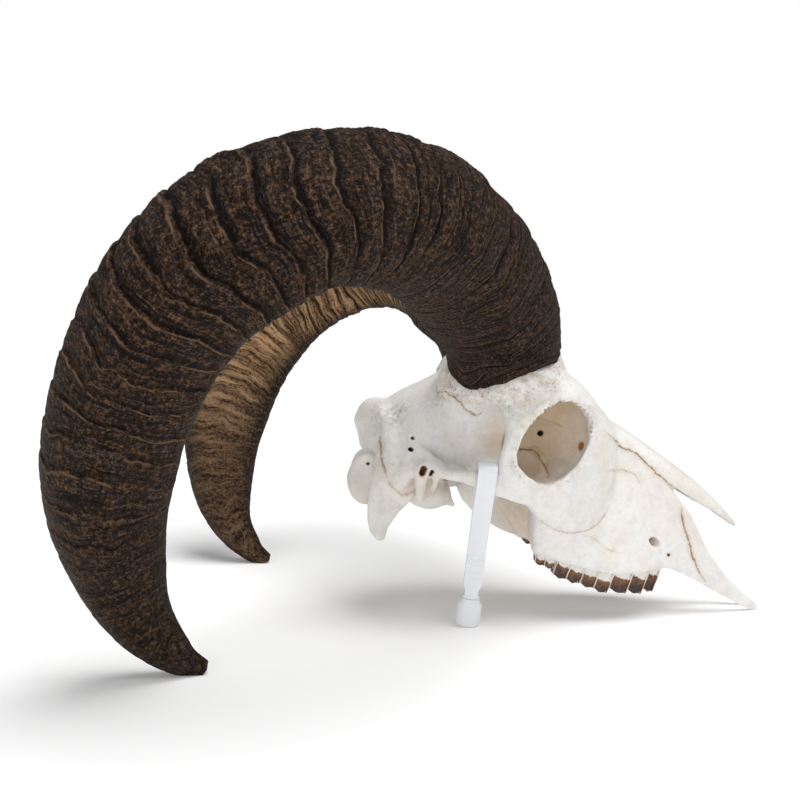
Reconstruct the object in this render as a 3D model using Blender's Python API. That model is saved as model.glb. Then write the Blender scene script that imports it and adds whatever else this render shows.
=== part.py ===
"""Mouflon ram skull with its two horn sheaths, twelve cheek teeth and a plain loop tag.

Metres, +Z up, +X towards the nose, +Y towards the animal's left. The skull stands as it rests:
on both horn tips and on the tip of the nose, with the plane Y = 0 as its plane of symmetry.

The skull and teeth are described in the skull's own frame, in millimetres: x runs forward from the
back of the condyles, y sideways from the midline and z up from the chewing plane. An empty pitches
that frame nose down and sets the nose tip on the ground. Horns and tag are in the resting frame.
"""

import math

import bmesh
import bpy
import numpy as np
from mathutils import Matrix, Vector

MM = 0.001

# Driving dimensions, in millimetres and degrees.
SKULL_LENGTH = 236.3
NOSE_PITCH = 20.0
NOSE_TIP_HEIGHT = 8.8
NOSE_TIP = (171.5, 2.0)
CLEARANCE = 0.3
SOCKET_DEPTH = 5.0
STRAP_WIDTH = 9.6
STRAP_THICKNESS = 1.3
LOCK_SIZE = (13.0, 9.0, 15.0)
LOCK_PLACE = (9.5, -41.6, 1.1)
TAG_LEAN = (6.0, 12.45)

# Facet sizes, in millimetres and counts.
VOXEL = 2.2
SKULL_FACE_SHARE = 0.092
SMOOTH_ROUNDS = 3
HORN_SIDES = 12

# Horn sheath axis on the animal's left, base to tip: x, y, z, half width, half thickness.
HORN = [
    (25.0, 33.5, 138.5, 32.5, 25.5),
    (20.5, 60.0, 160.0, 32.5, 26.0),
    (7.5, 96.0, 180.0, 32.0, 26.0),
    (-8.5, 134.0, 193.0, 31.0, 25.5),
    (-28.5, 171.0, 200.0, 30.2, 25.0),
    (-56.5, 197.0, 198.3, 29.8, 24.5),
    (-88.5, 202.0, 184.6, 30.8, 24.0),
    (-116.8, 192.0, 157.6, 29.8, 23.2),
    (-136.8, 177.0, 122.2, 28.4, 22.4),
    (-147.3, 160.0, 84.0, 26.4, 21.2),
    (-146.0, 144.0, 50.0, 20.5, 17.5),
    (-138.7, 134.0, 25.4, 13.8, 12.0),
    (-125.0, 128.0, 8.6, 8.2, 7.5),
    (-113.5, 125.0, 2.0, 4.0, 4.0),
]
HORN_BASE_NORMAL = (-0.23, 0.53, 0.82)
BASE_BLEND = 45.0
SEAT_SHARE = 0.16
KEEL = 0.3
RIDGE_FADE = 0.35
RIDGE_STEP_AT_BASE = 9.5
RIDGE_STEP_AT_TIP = 19.0
RIDGE_HEIGHT = 1.5
TANGENT_REACH = 1.0

# Solid bone. A ball is centre, radii and its pitch in degrees, nose up.
BALLS_MIDDLE = [
    ((41.0, 0.0, 42.0), (42.0, 34.5, 29.0), 28.0),
    ((68.0, 0.0, 66.0), (34.0, 30.0, 30.0), 0.0),
    ((2.5, 0.0, 36.0), (11.0, 15.0, 10.0), 0.0),
    ((-3.0, 0.0, 33.0), (5.0, 9.0, 7.0), 0.0),
    ((30.0, 0.0, 12.0), (24.0, 24.0, 13.0), 0.0),
]
BALLS_PAIRED = [
    ((56.0, 27.0, 70.0), (30.0, 24.0, 24.0), 10.0),
    ((92.0, 30.0, 60.0), (28.0, 27.0, 27.0), 0.0),
    ((24.0, 28.0, 16.0), (14.0, 12.5, 20.0), 15.0),
    ((9.0, 17.0, 2.0), (10.0, 9.5, 13.0), 18.0),
    ((12.0, 12.0, -4.5), (10.5, 9.0, 6.5), 0.0),
    ((41.0, 23.0, 8.0), (12.5, 8.5, 9.5), 0.0),
    ((47.0, 40.0, 24.0), (10.0, 13.0, 5.5), 0.0),
    ((112.0, 37.0, 30.0), (20.0, 13.0, 14.0), 0.0),
]

# A limb is a list of x, y, z, half width across and half height.
LIMBS_PAIRED = {
    "postorbital_bar": [
        (60.0, 38.0, 80.0, 7.0, 6.0),
        (63.0, 51.0, 68.0, 4.5, 7.0),
        (67.0, 57.0, 54.0, 4.0, 6.5),
        (73.0, 58.0, 41.0, 4.0, 6.5),
        (84.0, 56.0, 31.0, 4.0, 6.0),
    ],
    "zygomatic_arch": [
        (92.0, 54.0, 31.0, 4.5, 6.0),
        (78.0, 58.0, 30.0, 4.0, 5.0),
        (62.0, 58.5, 27.5, 3.0, 4.0),
        (48.0, 54.0, 26.0, 3.2, 4.2),
        (37.0, 45.0, 26.0, 4.0, 4.5),
        (28.0, 34.0, 27.0, 6.0, 6.0),
    ],
    "nuchal_crest": [
        (1.0, 0.0, 37.0, 4.0, 5.0),
        (4.0, 14.0, 37.0, 4.0, 5.0),
        (10.0, 27.0, 31.0, 4.0, 5.0),
        (17.0, 36.0, 20.0, 4.0, 5.0),
        (22.0, 39.0, 8.0, 4.0, 5.0),
    ],
    "meatus_tube": [
        (38.0, 26.0, 15.0, 5.0, 5.0),
        (35.0, 36.0, 19.0, 4.5, 5.0),
        (34.5, 41.5, 20.5, 4.2, 4.8),
    ],
    "muscular_process": [
        (46.0, 22.0, 9.0, 4.0, 4.0),
        (53.0, 20.5, 8.5, 2.2, 2.2),
        (58.0, 20.0, 6.5, 1.3, 1.3),
    ],
    "facial_crest": [
        (96.0, 52.0, 31.0, 4.5, 6.0),
        (106.0, 46.5, 25.0, 4.0, 5.0),
        (118.0, 38.5, 20.0, 4.0, 5.0),
        (128.0, 34.5, 18.0, 3.0, 4.0),
    ],
}
SKULL_BASE_BAR = [
    (8.0, 0.0, 2.0, 13.0, 6.0),
    (28.0, 0.0, 8.0, 12.0, 6.0),
    (50.0, 0.0, 16.0, 9.0, 6.0),
    (80.0, 0.0, 30.0, 9.0, 8.0),
]

# Rim of the eye socket: centre, half axes along and across, tilts and thickness.
ORBIT_CENTRE = (93.0, 51.5, 57.5)
ORBIT_HALF = (19.5, 22.5)
ORBIT_YAW = -17.0
ORBIT_LEAN = -7.0
ORBIT_RIM = 4.4
RIM_FLARE = 1.15
RIM_STEPS = 24
RIM_SIDES = 10

# Face, from the braincase to the tip of the nose: x, low z, high z, half width low, half width high.
FACE = [
    (70.0, 22.0, 90.0, 22.0, 24.0),
    (84.0, 12.0, 92.0, 28.0, 25.0),
    (96.0, 4.0, 86.5, 38.5, 24.0),
    (106.0, 1.0, 82.0, 41.0, 21.0),
    (118.0, -1.0, 75.0, 41.0, 18.0),
    (132.0, -0.5, 70.0, 38.5, 16.5),
    (148.0, 2.0, 64.5, 34.0, 15.2),
    (160.0, 5.5, 58.5, 30.5, 14.6),
    (169.0, 10.5, 53.5, 27.0, 15.0),
    (176.0, 13.0, 48.5, 23.5, 16.5),
    (182.0, 12.8, 44.0, 21.5, 17.2),
    (190.0, 11.4, 36.0, 19.8, 17.0),
    (199.0, 10.2, 28.0, 18.0, 16.0),
    (211.0, 8.6, 20.5, 15.6, 13.2),
    (224.0, 6.4, 14.5, 12.2, 10.2),
    (238.0, 4.6, 10.2, 7.5, 6.5),
]

# Roof of the nose, an arch over both nasal bones: x, z of the side edge, z of the top, half width.
NASALS = [
    (86.0, 66.0, 100.0, 28.0),
    (97.0, 66.0, 92.0, 24.0),
    (108.0, 66.0, 85.0, 19.0),
    (121.0, 64.0, 78.3, 16.0),
    (143.0, 61.0, 73.0, 15.0),
    (161.0, 56.5, 68.0, 14.5),
    (178.0, 52.5, 62.7, 13.5),
    (194.0, 49.5, 56.7, 11.0),
    (203.0, 47.5, 51.0, 8.0),
    (209.0, 45.5, 47.5, 5.0),
]
NASAL_THICKNESS = 5.0

# Nasal cavity cut: x, low z, high z, half width low, half width high.
NASAL_CAVITY = [
    (112.0, 20.0, 70.0, 20.0, 9.0),
    (130.0, 20.0, 66.0, 22.0, 11.0),
    (150.0, 19.5, 61.0, 24.0, 11.5),
    (165.0, 18.5, 57.0, 21.5, 11.0),
    (176.0, 17.5, 56.0, 18.5, 12.5),
    (188.0, 15.5, 54.0, 15.5, 12.5),
    (200.0, 14.0, 50.0, 12.5, 11.5),
    (212.0, 12.5, 45.0, 9.5, 8.5),
    (226.0, 11.0, 30.0, 5.5, 5.0),
    (246.0, 9.0, 24.0, 2.0, 2.0),
]
# Opening in the floor of the nose, between the two premaxillae.
PALATE_FISSURE = [
    (183.0, -4.0, 30.0, 5.0, 5.0),
    (196.0, -4.0, 30.0, 9.0, 9.0),
    (212.0, -4.0, 30.0, 8.5, 8.5),
    (224.0, -4.0, 30.0, 5.5, 5.5),
    (246.0, -4.0, 30.0, 1.6, 1.6),
]
FISSURE_CORNER = 1.5
# Vault of the palate, between the tooth rows.
PALATE_VAULT = [
    (70.0, -16.0, 18.0, 12.0, 9.0),
    (98.0, -16.0, 14.0, 19.0, 12.0),
    (110.0, -16.0, 12.5, 23.0, 16.0),
    (135.0, -16.0, 13.0, 22.5, 15.0),
    (155.0, -16.0, 14.0, 19.5, 13.0),
    (172.0, -16.0, 14.5, 16.0, 11.0),
    (190.0, -16.0, 10.5, 14.0, 10.0),
]
VAULT_CORNER = 9.0
# Passage behind the palate, between the pterygoid plates.
CHOANA = [
    (58.0, 0.0, 8.0, 9.0, 4.0),
    (76.0, 0.0, 16.0, 10.5, 9.0),
    (96.0, 0.0, 24.0, 10.5, 9.0),
    (118.0, 0.0, 30.0, 10.0, 9.0),
]
PTERYGOID = [(58.0, 14.0), (68.0, 6.5), (85.0, 2.0), (96.0, 0.5), (103.0, 4.0), (103.0, 26.0), (62.0, 26.0)]
PTERYGOID_PLACE = (14.0, 17.0)
PTERYGOID_THICKNESS = 4.0
PARACONDYLAR = [
    (14.0, 12.0), (15.5, -4.0), (17.4, -11.0), (20.5, -18.0), (26.5, -23.5),
    (29.5, -22.0), (30.0, -12.0), (32.0, -2.0), (33.0, 12.0),
]
PARACONDYLAR_PLACE = (33.5, 38.5)
PARACONDYLAR_THICKNESS = 5.5

# The eye socket is a ball cut out behind the rim, with a second one reaching back and inwards.
SOCKETS = [
    ((94.0, 47.0, 57.5), (18.0, 27.0, 21.0), 10.0),
    ((84.0, 34.0, 50.0), (15.0, 18.0, 14.0), 0.0),
]
FORAMEN_MAGNUM = [
    (-12.0, 0.0, 5.5, 10.0, 9.5),
    (6.0, 0.0, 7.0, 10.0, 9.5),
    (26.0, 0.0, 12.0, 8.5, 8.0),
]
# Gap between the braincase and the arch, behind the postorbital bar.
TEMPORAL_GAP = [
    ((60.0, 47.0, 22.0), (11.0, 7.5, 18.0), 0.0),
    ((70.0, 47.0, 44.0), (11.0, 10.0, 16.0), 20.0),
]

# Open space under the cheek arch and behind the tooth row, in side view.
BEHIND_TEETH = [
    (62.0, -20.0), (101.0, -20.0), (98.5, 0.4), (95.5, 18.6), (88.0, 22.0), (76.0, 22.0), (62.0, 15.0),
]
BEHIND_TEETH_PLACE = (44.0, 44.0)
BEHIND_TEETH_WIDTH = 46.0

# Cheek teeth of one side, back to front: name, rear x, front x, outer y, gum z, tip z.
TEETH = [
    ("molar_3", 103.0, 117.4, 38.4, 2.0, -6.5),
    ("molar_2", 117.8, 132.9, 38.2, 0.0, -9.3),
    ("molar_1", 133.3, 148.8, 36.0, 1.0, -9.2),
    ("premolar_4", 149.2, 158.8, 33.2, 3.5, -6.8),
    ("premolar_3", 159.2, 167.0, 30.8, 6.0, -4.5),
    ("premolar_2", 167.4, 173.0, 28.4, 9.0, -1.5),
]
TOOTH_DEPTH = {"molar": 14.0, "premolar": 11.0}
LOBE_LENGTH = 7.5
LOBE_SWELL = 1.1
ROOT_SHARE = 0.94
TIP_SHARE = 0.9
BELOW_TEETH = -20.0

# Middle line of the folded strap across its width: outwards and up, from lock to arch and back.
STRAP_PATH = [
    (1.0, 10.0),
    (1.6, 56.0),
    (4.9, 74.0),
    (5.2, 83.5),
    (3.2, 88.0),
    (-3.2, 88.0),
    (-5.2, 83.5),
    (-4.9, 74.0),
    (-1.6, 56.0),
    (-1.0, 10.0),
]
LOCK_SIDES = 14
GROUND_WIDTH = 900.0
GROUND_DEPTH = 100.0

BONE = ((0.80, 0.76, 0.68), 0.62)
ENAMEL = ((0.62, 0.48, 0.32), 0.35)
KERATIN = ((0.075, 0.05, 0.035), 0.6)
PLASTIC = ((0.86, 0.88, 0.90), 0.4)


def clear_scene():
    for obj in list(bpy.data.objects):
        bpy.data.objects.remove(obj)


def material(name, look):
    colour, roughness = look
    made = bpy.data.materials.new(name)
    made.use_nodes = True
    shader = made.node_tree.nodes["Principled BSDF"]
    shader.inputs["Base Color"].default_value = (*colour, 1.0)
    shader.inputs["Roughness"].default_value = roughness
    shader.inputs["Metallic"].default_value = 0.0
    return made


def object_from(bm, name, look=None, parent=None, helper=False):
    """A linked object whose mesh is bm, given in millimetres."""
    bmesh.ops.scale(bm, vec=(MM, MM, MM), verts=bm.verts)
    bmesh.ops.recalc_face_normals(bm, faces=bm.faces)
    mesh = bpy.data.meshes.new(name)
    bm.to_mesh(mesh)
    bm.free()
    obj = bpy.data.objects.new(name, mesh)
    bpy.context.scene.collection.objects.link(obj)
    obj.parent = parent
    if look is not None:
        mesh.materials.append(look)
        mesh.shade_smooth()
    if helper:
        obj.hide_render = True
        obj.display_type = "WIRE"
    return obj


def skin(bm, rings):
    """One closed tube through the rings, each a list of points, with both ends capped."""
    rows = [[bm.verts.new(p) for p in ring] for ring in rings]
    for near, far in zip(rows, rows[1:]):
        for i in range(len(near)):
            j = (i + 1) % len(near)
            bm.faces.new((near[i], near[j], far[j], far[i]))
    bm.faces.new(reversed(rows[0]))
    bm.faces.new(rows[-1])


def add_ball(bm, centre, radii, pitch, side=1, segments=20):
    place = (
        Matrix.Translation((centre[0], side * centre[1], centre[2]))
        @ Matrix.Rotation(math.radians(-pitch), 4, "Y")
        @ Matrix.Diagonal((*radii, 1.0))
    )
    bmesh.ops.create_uvsphere(
        bm, u_segments=segments, v_segments=segments // 2 + 2, radius=1.0, matrix=place
    )


def section_axes(tangent):
    """Two unit directions across a tube: one as level as can be, and one as upright as can be."""
    up = Vector((0.0, 0.0, 1.0)) if abs(tangent.z) < 0.9 else Vector((1.0, 0.0, 0.0))
    across = tangent.cross(up).normalized()
    return across, across.cross(tangent).normalized()


def add_limb(bm, stations, side=1, sides=12):
    """A tube with oval sections; its ends are drawn in so that they come out round."""
    points = [Vector((x, side * y, z)) for x, y, z, _, _ in stations]
    rings = []
    for i, (_, _, _, wide, high) in enumerate(stations):
        ahead = points[min(i + 1, len(points) - 1)]
        behind = points[max(i - 1, 0)]
        tangent = (ahead - behind).normalized()
        across, upright = section_axes(tangent)
        rings.append(
            [
                points[i]
                + across * (wide * math.cos(math.tau * k / sides))
                + upright * (high * math.sin(math.tau * k / sides))
                for k in range(sides)
            ]
        )
    skin(bm, rings)


def add_loft(bm, stations, corner=5.0, arc_steps=4):
    """A body along x whose sections are trapezoids with rounded corners."""
    rings = []
    for x, low, high, wide_low, wide_high in stations:
        radius = min(corner, (high - low) / 2.2, wide_low / 1.2, wide_high / 1.2)
        centres = [
            (wide_low - radius, low + radius, -90.0),
            (wide_high - radius, high - radius, 0.0),
            (radius - wide_high, high - radius, 90.0),
            (radius - wide_low, low + radius, 180.0),
        ]
        ring = []
        for y, z, start in centres:
            for k in range(arc_steps + 1):
                angle = math.radians(start + 90.0 * k / arc_steps)
                ring.append((x, y + radius * math.cos(angle), z + radius * math.sin(angle)))
        rings.append(ring)
    skin(bm, rings)


def add_arch(bm, stations, thickness, steps=10):
    """An arched roof of even thickness along x, open below."""
    rings = []
    for x, edge, top, wide in stations:
        outer = []
        inner = []
        for k in range(steps + 1):
            angle = math.pi * k / steps
            y, rise = math.cos(angle), math.sin(angle)
            outer.append((x, wide * y, edge + (top - edge) * rise))
            inner.append(
                (x, (wide - thickness) * y, edge + max(top - edge - thickness, 0.4) * rise)
            )
        rings.append(outer + inner[::-1])
    skin(bm, rings)


def add_plate(bm, outline, place, thickness, side=1):
    """A flat plate in side view; place is its y at the bottom and at the top of the outline."""
    heights = [z for _, z in outline]
    low, high = min(heights), max(heights)
    rings = []
    for offset in (-thickness / 2, thickness / 2):
        ring = []
        for x, z in outline:
            share = (z - low) / (high - low)
            y = place[0] + (place[1] - place[0]) * share
            ring.append((x, side * (y + offset), z))
        rings.append(ring)
    skin(bm, rings)


def add_orbit_rim(bm, side):
    """An oval ring round the eye socket."""
    turn = Matrix.Rotation(math.radians(side * ORBIT_YAW), 3, "Z") @ Matrix.Rotation(
        math.radians(side * -ORBIT_LEAN), 3, "X"
    )
    centre = Vector((ORBIT_CENTRE[0], side * ORBIT_CENTRE[1], ORBIT_CENTRE[2]))
    rows = []
    for i in range(RIM_STEPS):
        angle = math.tau * i / RIM_STEPS
        out = Vector((math.cos(angle), 0.0, math.sin(angle)))
        path = Vector((ORBIT_HALF[0] * out.x, 0.0, ORBIT_HALF[1] * out.z))
        row = []
        for k in range(RIM_SIDES):
            turned = math.tau * k / RIM_SIDES
            local = path + ORBIT_RIM * (
                math.cos(turned) * out + RIM_FLARE * math.sin(turned) * Vector((0.0, 1.0, 0.0))
            )
            row.append(bm.verts.new(centre + turn @ local))
        rows.append(row)
    for i in range(RIM_STEPS):
        near, far = rows[i], rows[(i + 1) % RIM_STEPS]
        for k in range(RIM_SIDES):
            m = (k + 1) % RIM_SIDES
            bm.faces.new((near[k], near[m], far[m], far[k]))


def bone_mesh():
    """All the overlapping lumps of solid bone, still to be joined."""
    bm = bmesh.new()
    for ball in BALLS_MIDDLE:
        add_ball(bm, *ball)
    add_limb(bm, SKULL_BASE_BAR)
    add_loft(bm, FACE)
    add_arch(bm, NASALS, NASAL_THICKNESS)
    for side in (1, -1):
        for ball in BALLS_PAIRED:
            add_ball(bm, *ball, side)
        for stations in LIMBS_PAIRED.values():
            add_limb(bm, stations, side)
        add_orbit_rim(bm, side)
        add_plate(bm, PTERYGOID, PTERYGOID_PLACE, PTERYGOID_THICKNESS, side)
        add_plate(bm, PARACONDYLAR, PARACONDYLAR_PLACE, PARACONDYLAR_THICKNESS, side)
    return bm


def hollow_mesh():
    """All the hollows that are taken out of the bone."""
    bm = bmesh.new()
    add_limb(bm, FORAMEN_MAGNUM)
    add_limb(bm, CHOANA)
    add_loft(bm, NASAL_CAVITY)
    add_loft(bm, PALATE_FISSURE, FISSURE_CORNER)
    add_loft(bm, PALATE_VAULT, VAULT_CORNER)
    for side in (1, -1):
        for ball in SOCKETS + TEMPORAL_GAP:
            add_ball(bm, *ball, side)
        add_plate(bm, BEHIND_TEETH, BEHIND_TEETH_PLACE, BEHIND_TEETH_WIDTH, side)
    return bm


def add_remesh(obj, name):
    step = obj.modifiers.new(name, "REMESH")
    step.mode = "VOXEL"
    step.voxel_size = VOXEL * MM
    return step


def add_cut(obj, name, cutter):
    step = obj.modifiers.new(name, "BOOLEAN")
    step.operation = "DIFFERENCE"
    step.solver = "EXACT"
    step.object = cutter
    return step


def build_skull(pose, look):
    skull = object_from(bone_mesh(), "skull", look, pose)
    hollows = object_from(hollow_mesh(), "skull_hollows", None, pose, helper=True)
    add_remesh(hollows, "join hollows")
    add_remesh(skull, "join bone")
    add_cut(skull, "take out hollows", hollows)
    add_remesh(skull, "even faces")
    smooth = skull.modifiers.new("soften", "SMOOTH")
    smooth.factor = 0.5
    smooth.iterations = SMOOTH_ROUNDS
    thin = skull.modifiers.new("fewer faces", "DECIMATE")
    thin.ratio = SKULL_FACE_SHARE
    return skull


def tooth_outline(rear, front, outer, depth):
    """Plan of a crown: a scalloped outer wall, with one swelling to each lobe, and a scalloped inner one."""
    lobes = max(1, round((front - rear) / LOBE_LENGTH))
    steps = 2 * lobes
    walls = []
    for wall, sign in ((outer, 1.0), (outer - depth, -1.0)):
        row = []
        for i in range(steps + 1):
            swell = 0.0 if i % 2 else -LOBE_SWELL
            row.append((rear + (front - rear) * i / steps, wall + sign * swell))
        walls.append(row)
    return walls[0] + walls[1][::-1]


def build_tooth(tooth, side, pose, look):
    """A crown and its root, which fills the socket up to the clearance."""
    name, rear, front, outer, gum, tip = tooth
    depth = TOOTH_DEPTH[name.split("_")[0]]
    loop = tooth_outline(rear, front, outer, depth)
    middle_x, middle_y = (rear + front) / 2, outer - depth / 2
    rings = []
    for z, share in ((gum + SOCKET_DEPTH, ROOT_SHARE), (gum, 1.0), (tip, TIP_SHARE)):
        rings.append(
            [
                (middle_x + (x - middle_x) * share, side * (middle_y + (y - middle_y) * share), z)
                for x, y in loop
            ]
        )
    bm = bmesh.new()
    skin(bm, rings)
    return object_from(bm, f"{name}_{'left' if side > 0 else 'right'}", look, pose)


def build_socket(side, pose):
    """The trough that one row of teeth stands in, a little wider and deeper than the teeth."""
    rings = []
    for i, (name, rear, front, outer, gum, _) in enumerate(TEETH):
        depth = TOOTH_DEPTH[name.split("_")[0]]
        top = gum + SOCKET_DEPTH + CLEARANCE
        inner_wall, outer_wall = side * (outer - depth - CLEARANCE), side * (outer + CLEARANCE)
        first = rear - (CLEARANCE if i == 0 else 0.0)
        last = front + (CLEARANCE if i == len(TEETH) - 1 else 0.0)
        for x in (first, last):
            rings.append(
                [
                    (x, inner_wall, top),
                    (x, outer_wall, top),
                    (x, outer_wall, BELOW_TEETH),
                    (x, inner_wall, BELOW_TEETH),
                ]
            )
    bm = bmesh.new()
    skin(bm, rings)
    return object_from(bm, f"socket_{'left' if side > 0 else 'right'}", None, pose, helper=True)


def spline(points, steps):
    """Catmull-Rom curve through rows of numbers, with steps samples to each span."""
    rows = np.array(points, float)
    padded = np.vstack([2 * rows[0] - rows[1], rows, 2 * rows[-1] - rows[-2]])
    found = []
    for i in range(len(rows) - 1):
        a, b, c, d = padded[i : i + 4]
        for t in np.arange(steps) / steps:
            found.append(
                0.5
                * (
                    2 * b
                    + (c - a) * t
                    + (2 * a - 5 * b + 4 * c - d) * t**2
                    + (3 * b - a - 3 * c + d) * t**3
                )
            )
    found.append(rows[-1])
    return np.array(found)


def horn_rings(side, grow=0.0, until=1.0):
    """Rings of the horn sheath, one on the crest of each growth ring and one in the groove below it.

    grow widens them all and until stops them short, for the seat that is cut into the skull.
    """
    fine = spline(HORN, 40)
    run = np.concatenate([[0.0], np.cumsum(np.linalg.norm(np.diff(fine[:, :3], axis=0), axis=1))])
    length = run[-1]
    ridges = int(2 * length / (RIDGE_STEP_AT_BASE + RIDGE_STEP_AT_TIP))
    widening = RIDGE_STEP_AT_TIP / RIDGE_STEP_AT_BASE - 1.0
    base_normal = Vector(HORN_BASE_NORMAL).normalized()
    rings = []
    for i in range(2 * ridges + 1):
        turn = i / (2 * ridges)
        share = turn * (1 + widening * turn / 2) / (1 + widening / 2)
        if share > until:
            break
        at = share * length
        x, y, z, half_width, half_thickness = (np.interp(at, run, column) for column in fine.T)
        ends = [
            [np.interp(place, run, column) for column in fine.T[:3]]
            for place in (max(at - TANGENT_REACH, 0.0), min(at + TANGENT_REACH, length))
        ]
        tangent = (Vector(ends[1]) - Vector(ends[0])).normalized()
        blend = min(1.0, at / BASE_BLEND)
        normal = (base_normal * (1 - blend) + tangent * blend).normalized()
        inward = normal.cross(Vector((0.0, 1.0, 0.0))).normalized()
        sideways = inward.cross(normal).normalized()
        fade = min(1.0, (1 - share) / RIDGE_FADE)
        lift = grow + (RIDGE_HEIGHT * fade if i % 2 else 0.0)
        centre = Vector((x, y, z)) - normal * (grow if i == 0 else 0.0)
        ring = []
        for k in range(HORN_SIDES):
            angle = math.tau * k / HORN_SIDES
            keel = 1.0 - KEEL * max(0.0, math.cos(angle))
            point = centre + inward * (half_width + lift) * math.cos(angle)
            point += sideways * (half_thickness + lift) * math.sin(angle) * keel
            ring.append((point.x, side * point.y, point.z))
        rings.append(ring)
    return rings


def build_horn(name, side, look, ground):
    bm = bmesh.new()
    skin(bm, horn_rings(side))
    horn = object_from(bm, name, look)
    add_cut(horn, "flat where it rests", ground)
    return horn


def build_horn_seat(name, side):
    bm = bmesh.new()
    skin(bm, horn_rings(side, grow=CLEARANCE + RIDGE_HEIGHT, until=SEAT_SHARE))
    return object_from(bm, name, helper=True)


def build_tag(look):
    """A strap folded over the right cheek arch, both ends in a lock that stands on the ground."""
    wide, deep, high = LOCK_SIZE
    bm = bmesh.new()
    half = Vector((STRAP_WIDTH / 2, 0.0, 0.0))
    path = [Vector((0.0, y, z)) for y, z in STRAP_PATH]
    rings = []
    for i, point in enumerate(path):
        ahead, behind = path[min(i + 1, len(path) - 1)], path[max(i - 1, 0)]
        along = (ahead - behind).normalized()
        out = Vector((0.0, along.z, -along.y)) * (STRAP_THICKNESS / 2)
        rings.append([point + half + out, point - half + out, point - half - out, point + half - out])
    skin(bm, rings)
    tag = object_from(bm, "seal_tag", look)
    bm = bmesh.new()
    rings = []
    for z, share in ((0.0, 0.86), (1.2, 1.0), (high - 2.0, 1.0), (high, 0.8)):
        rings.append(
            [
                (
                    share * wide / 2 * math.cos(math.tau * k / LOCK_SIDES),
                    share * deep / 2 * math.sin(math.tau * k / LOCK_SIDES),
                    z,
                )
                for k in range(LOCK_SIDES)
            ]
        )
    skin(bm, rings)
    lock = object_from(bm, "lock_body", helper=True)
    lean_x, lean_y = (math.radians(angle) for angle in TAG_LEAN)
    place = Matrix.Translation([value * MM for value in LOCK_PLACE])
    tag.matrix_world = place @ Matrix.Rotation(lean_x, 4, "Y") @ Matrix.Rotation(lean_y, 4, "X")
    lock.matrix_world = tag.matrix_world
    join = tag.modifiers.new("lock", "BOOLEAN")
    join.operation = "UNION"
    join.solver = "EXACT"
    join.object = lock
    return tag


def build_pose():
    """The empty that pitches the skull nose down and sets its nose tip where it rests."""
    pose = bpy.data.objects.new("skull_pose", None)
    bpy.context.scene.collection.objects.link(pose)
    turn = Matrix.Rotation(math.radians(NOSE_PITCH), 4, "Y")
    tip = Matrix.Translation((NOSE_TIP[0] * MM, 0.0, NOSE_TIP[1] * MM))
    back = Matrix.Translation((-SKULL_LENGTH * MM, 0.0, -NOSE_TIP_HEIGHT * MM))
    pose.matrix_world = tip @ turn @ back
    return pose


def build_ground():
    """Everything below the plane that the object stands on."""
    bm = bmesh.new()
    place = Matrix.Translation((0.0, 0.0, -GROUND_DEPTH / 2))
    shape = Matrix.Diagonal((GROUND_WIDTH, GROUND_WIDTH, GROUND_DEPTH, 1.0))
    bmesh.ops.create_cube(bm, size=1.0, matrix=place @ shape)
    return object_from(bm, "ground", helper=True)


def main():
    clear_scene()
    bone = material("bone", BONE)
    enamel = material("enamel", ENAMEL)
    keratin = material("horn", KERATIN)
    plastic = material("seal_plastic", PLASTIC)
    pose = build_pose()
    ground = build_ground()
    skull = build_skull(pose, bone)
    add_cut(skull, "flat where it rests", ground)
    for side, word in ((1, "left"), (-1, "right")):
        add_cut(skull, f"{word} tooth sockets", build_socket(side, pose))
        add_cut(skull, f"{word} horn seat", build_horn_seat(f"horn_seat_{word}", side))
        for tooth in TEETH:
            build_tooth(tooth, side, pose, enamel)
        build_horn(f"horn_{word}", side, keratin, ground)
    build_tag(plastic)


main()
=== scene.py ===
import itertools
import math

import bpy
import numpy as np
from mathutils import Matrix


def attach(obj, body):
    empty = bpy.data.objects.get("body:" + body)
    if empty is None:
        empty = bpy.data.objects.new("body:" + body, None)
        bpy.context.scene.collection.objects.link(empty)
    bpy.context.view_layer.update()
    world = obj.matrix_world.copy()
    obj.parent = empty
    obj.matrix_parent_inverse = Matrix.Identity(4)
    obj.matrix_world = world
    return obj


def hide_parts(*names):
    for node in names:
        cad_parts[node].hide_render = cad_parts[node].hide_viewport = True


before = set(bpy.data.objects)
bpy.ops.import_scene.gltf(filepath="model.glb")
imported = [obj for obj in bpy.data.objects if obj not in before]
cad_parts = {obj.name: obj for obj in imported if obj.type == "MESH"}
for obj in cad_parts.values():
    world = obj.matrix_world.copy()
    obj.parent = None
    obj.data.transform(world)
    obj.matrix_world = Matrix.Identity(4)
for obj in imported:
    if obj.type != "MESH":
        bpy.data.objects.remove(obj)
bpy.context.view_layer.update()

import openvdb

# The skull's own frame, in millimetres: x forward from the condyles, y to the animal's left, z up from
# the chewing plane. It is pitched nose down and its nose tip stands on the ground.
MM = 0.001
SKULL_LENGTH = 236.3
NOSE_PITCH = math.radians(20.0)
NOSE_TIP_HEIGHT = 8.8
NOSE_TIP = (171.5, 2.0)

# The camera in metres and degrees, with its lens in millimetres, and the width of the floor.
CAMERA_PLACE = (-0.0255, -0.640, 0.1535)
CAMERA_PITCH = -3.4
CAMERA_LENS = 52.4
FLOOR_SIZE = 80.0

# Grid of the bone's distance field, half the skull, and how much of its mesh is kept.
VOXEL = 0.85
FIELD_LOW = (-12.0, 0.0, -28.0)
FIELD_HIGH = (244.0, 74.0, 108.0)
FAR_AWAY = 8.0
SKULL_TRIANGLES = 186000

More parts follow.
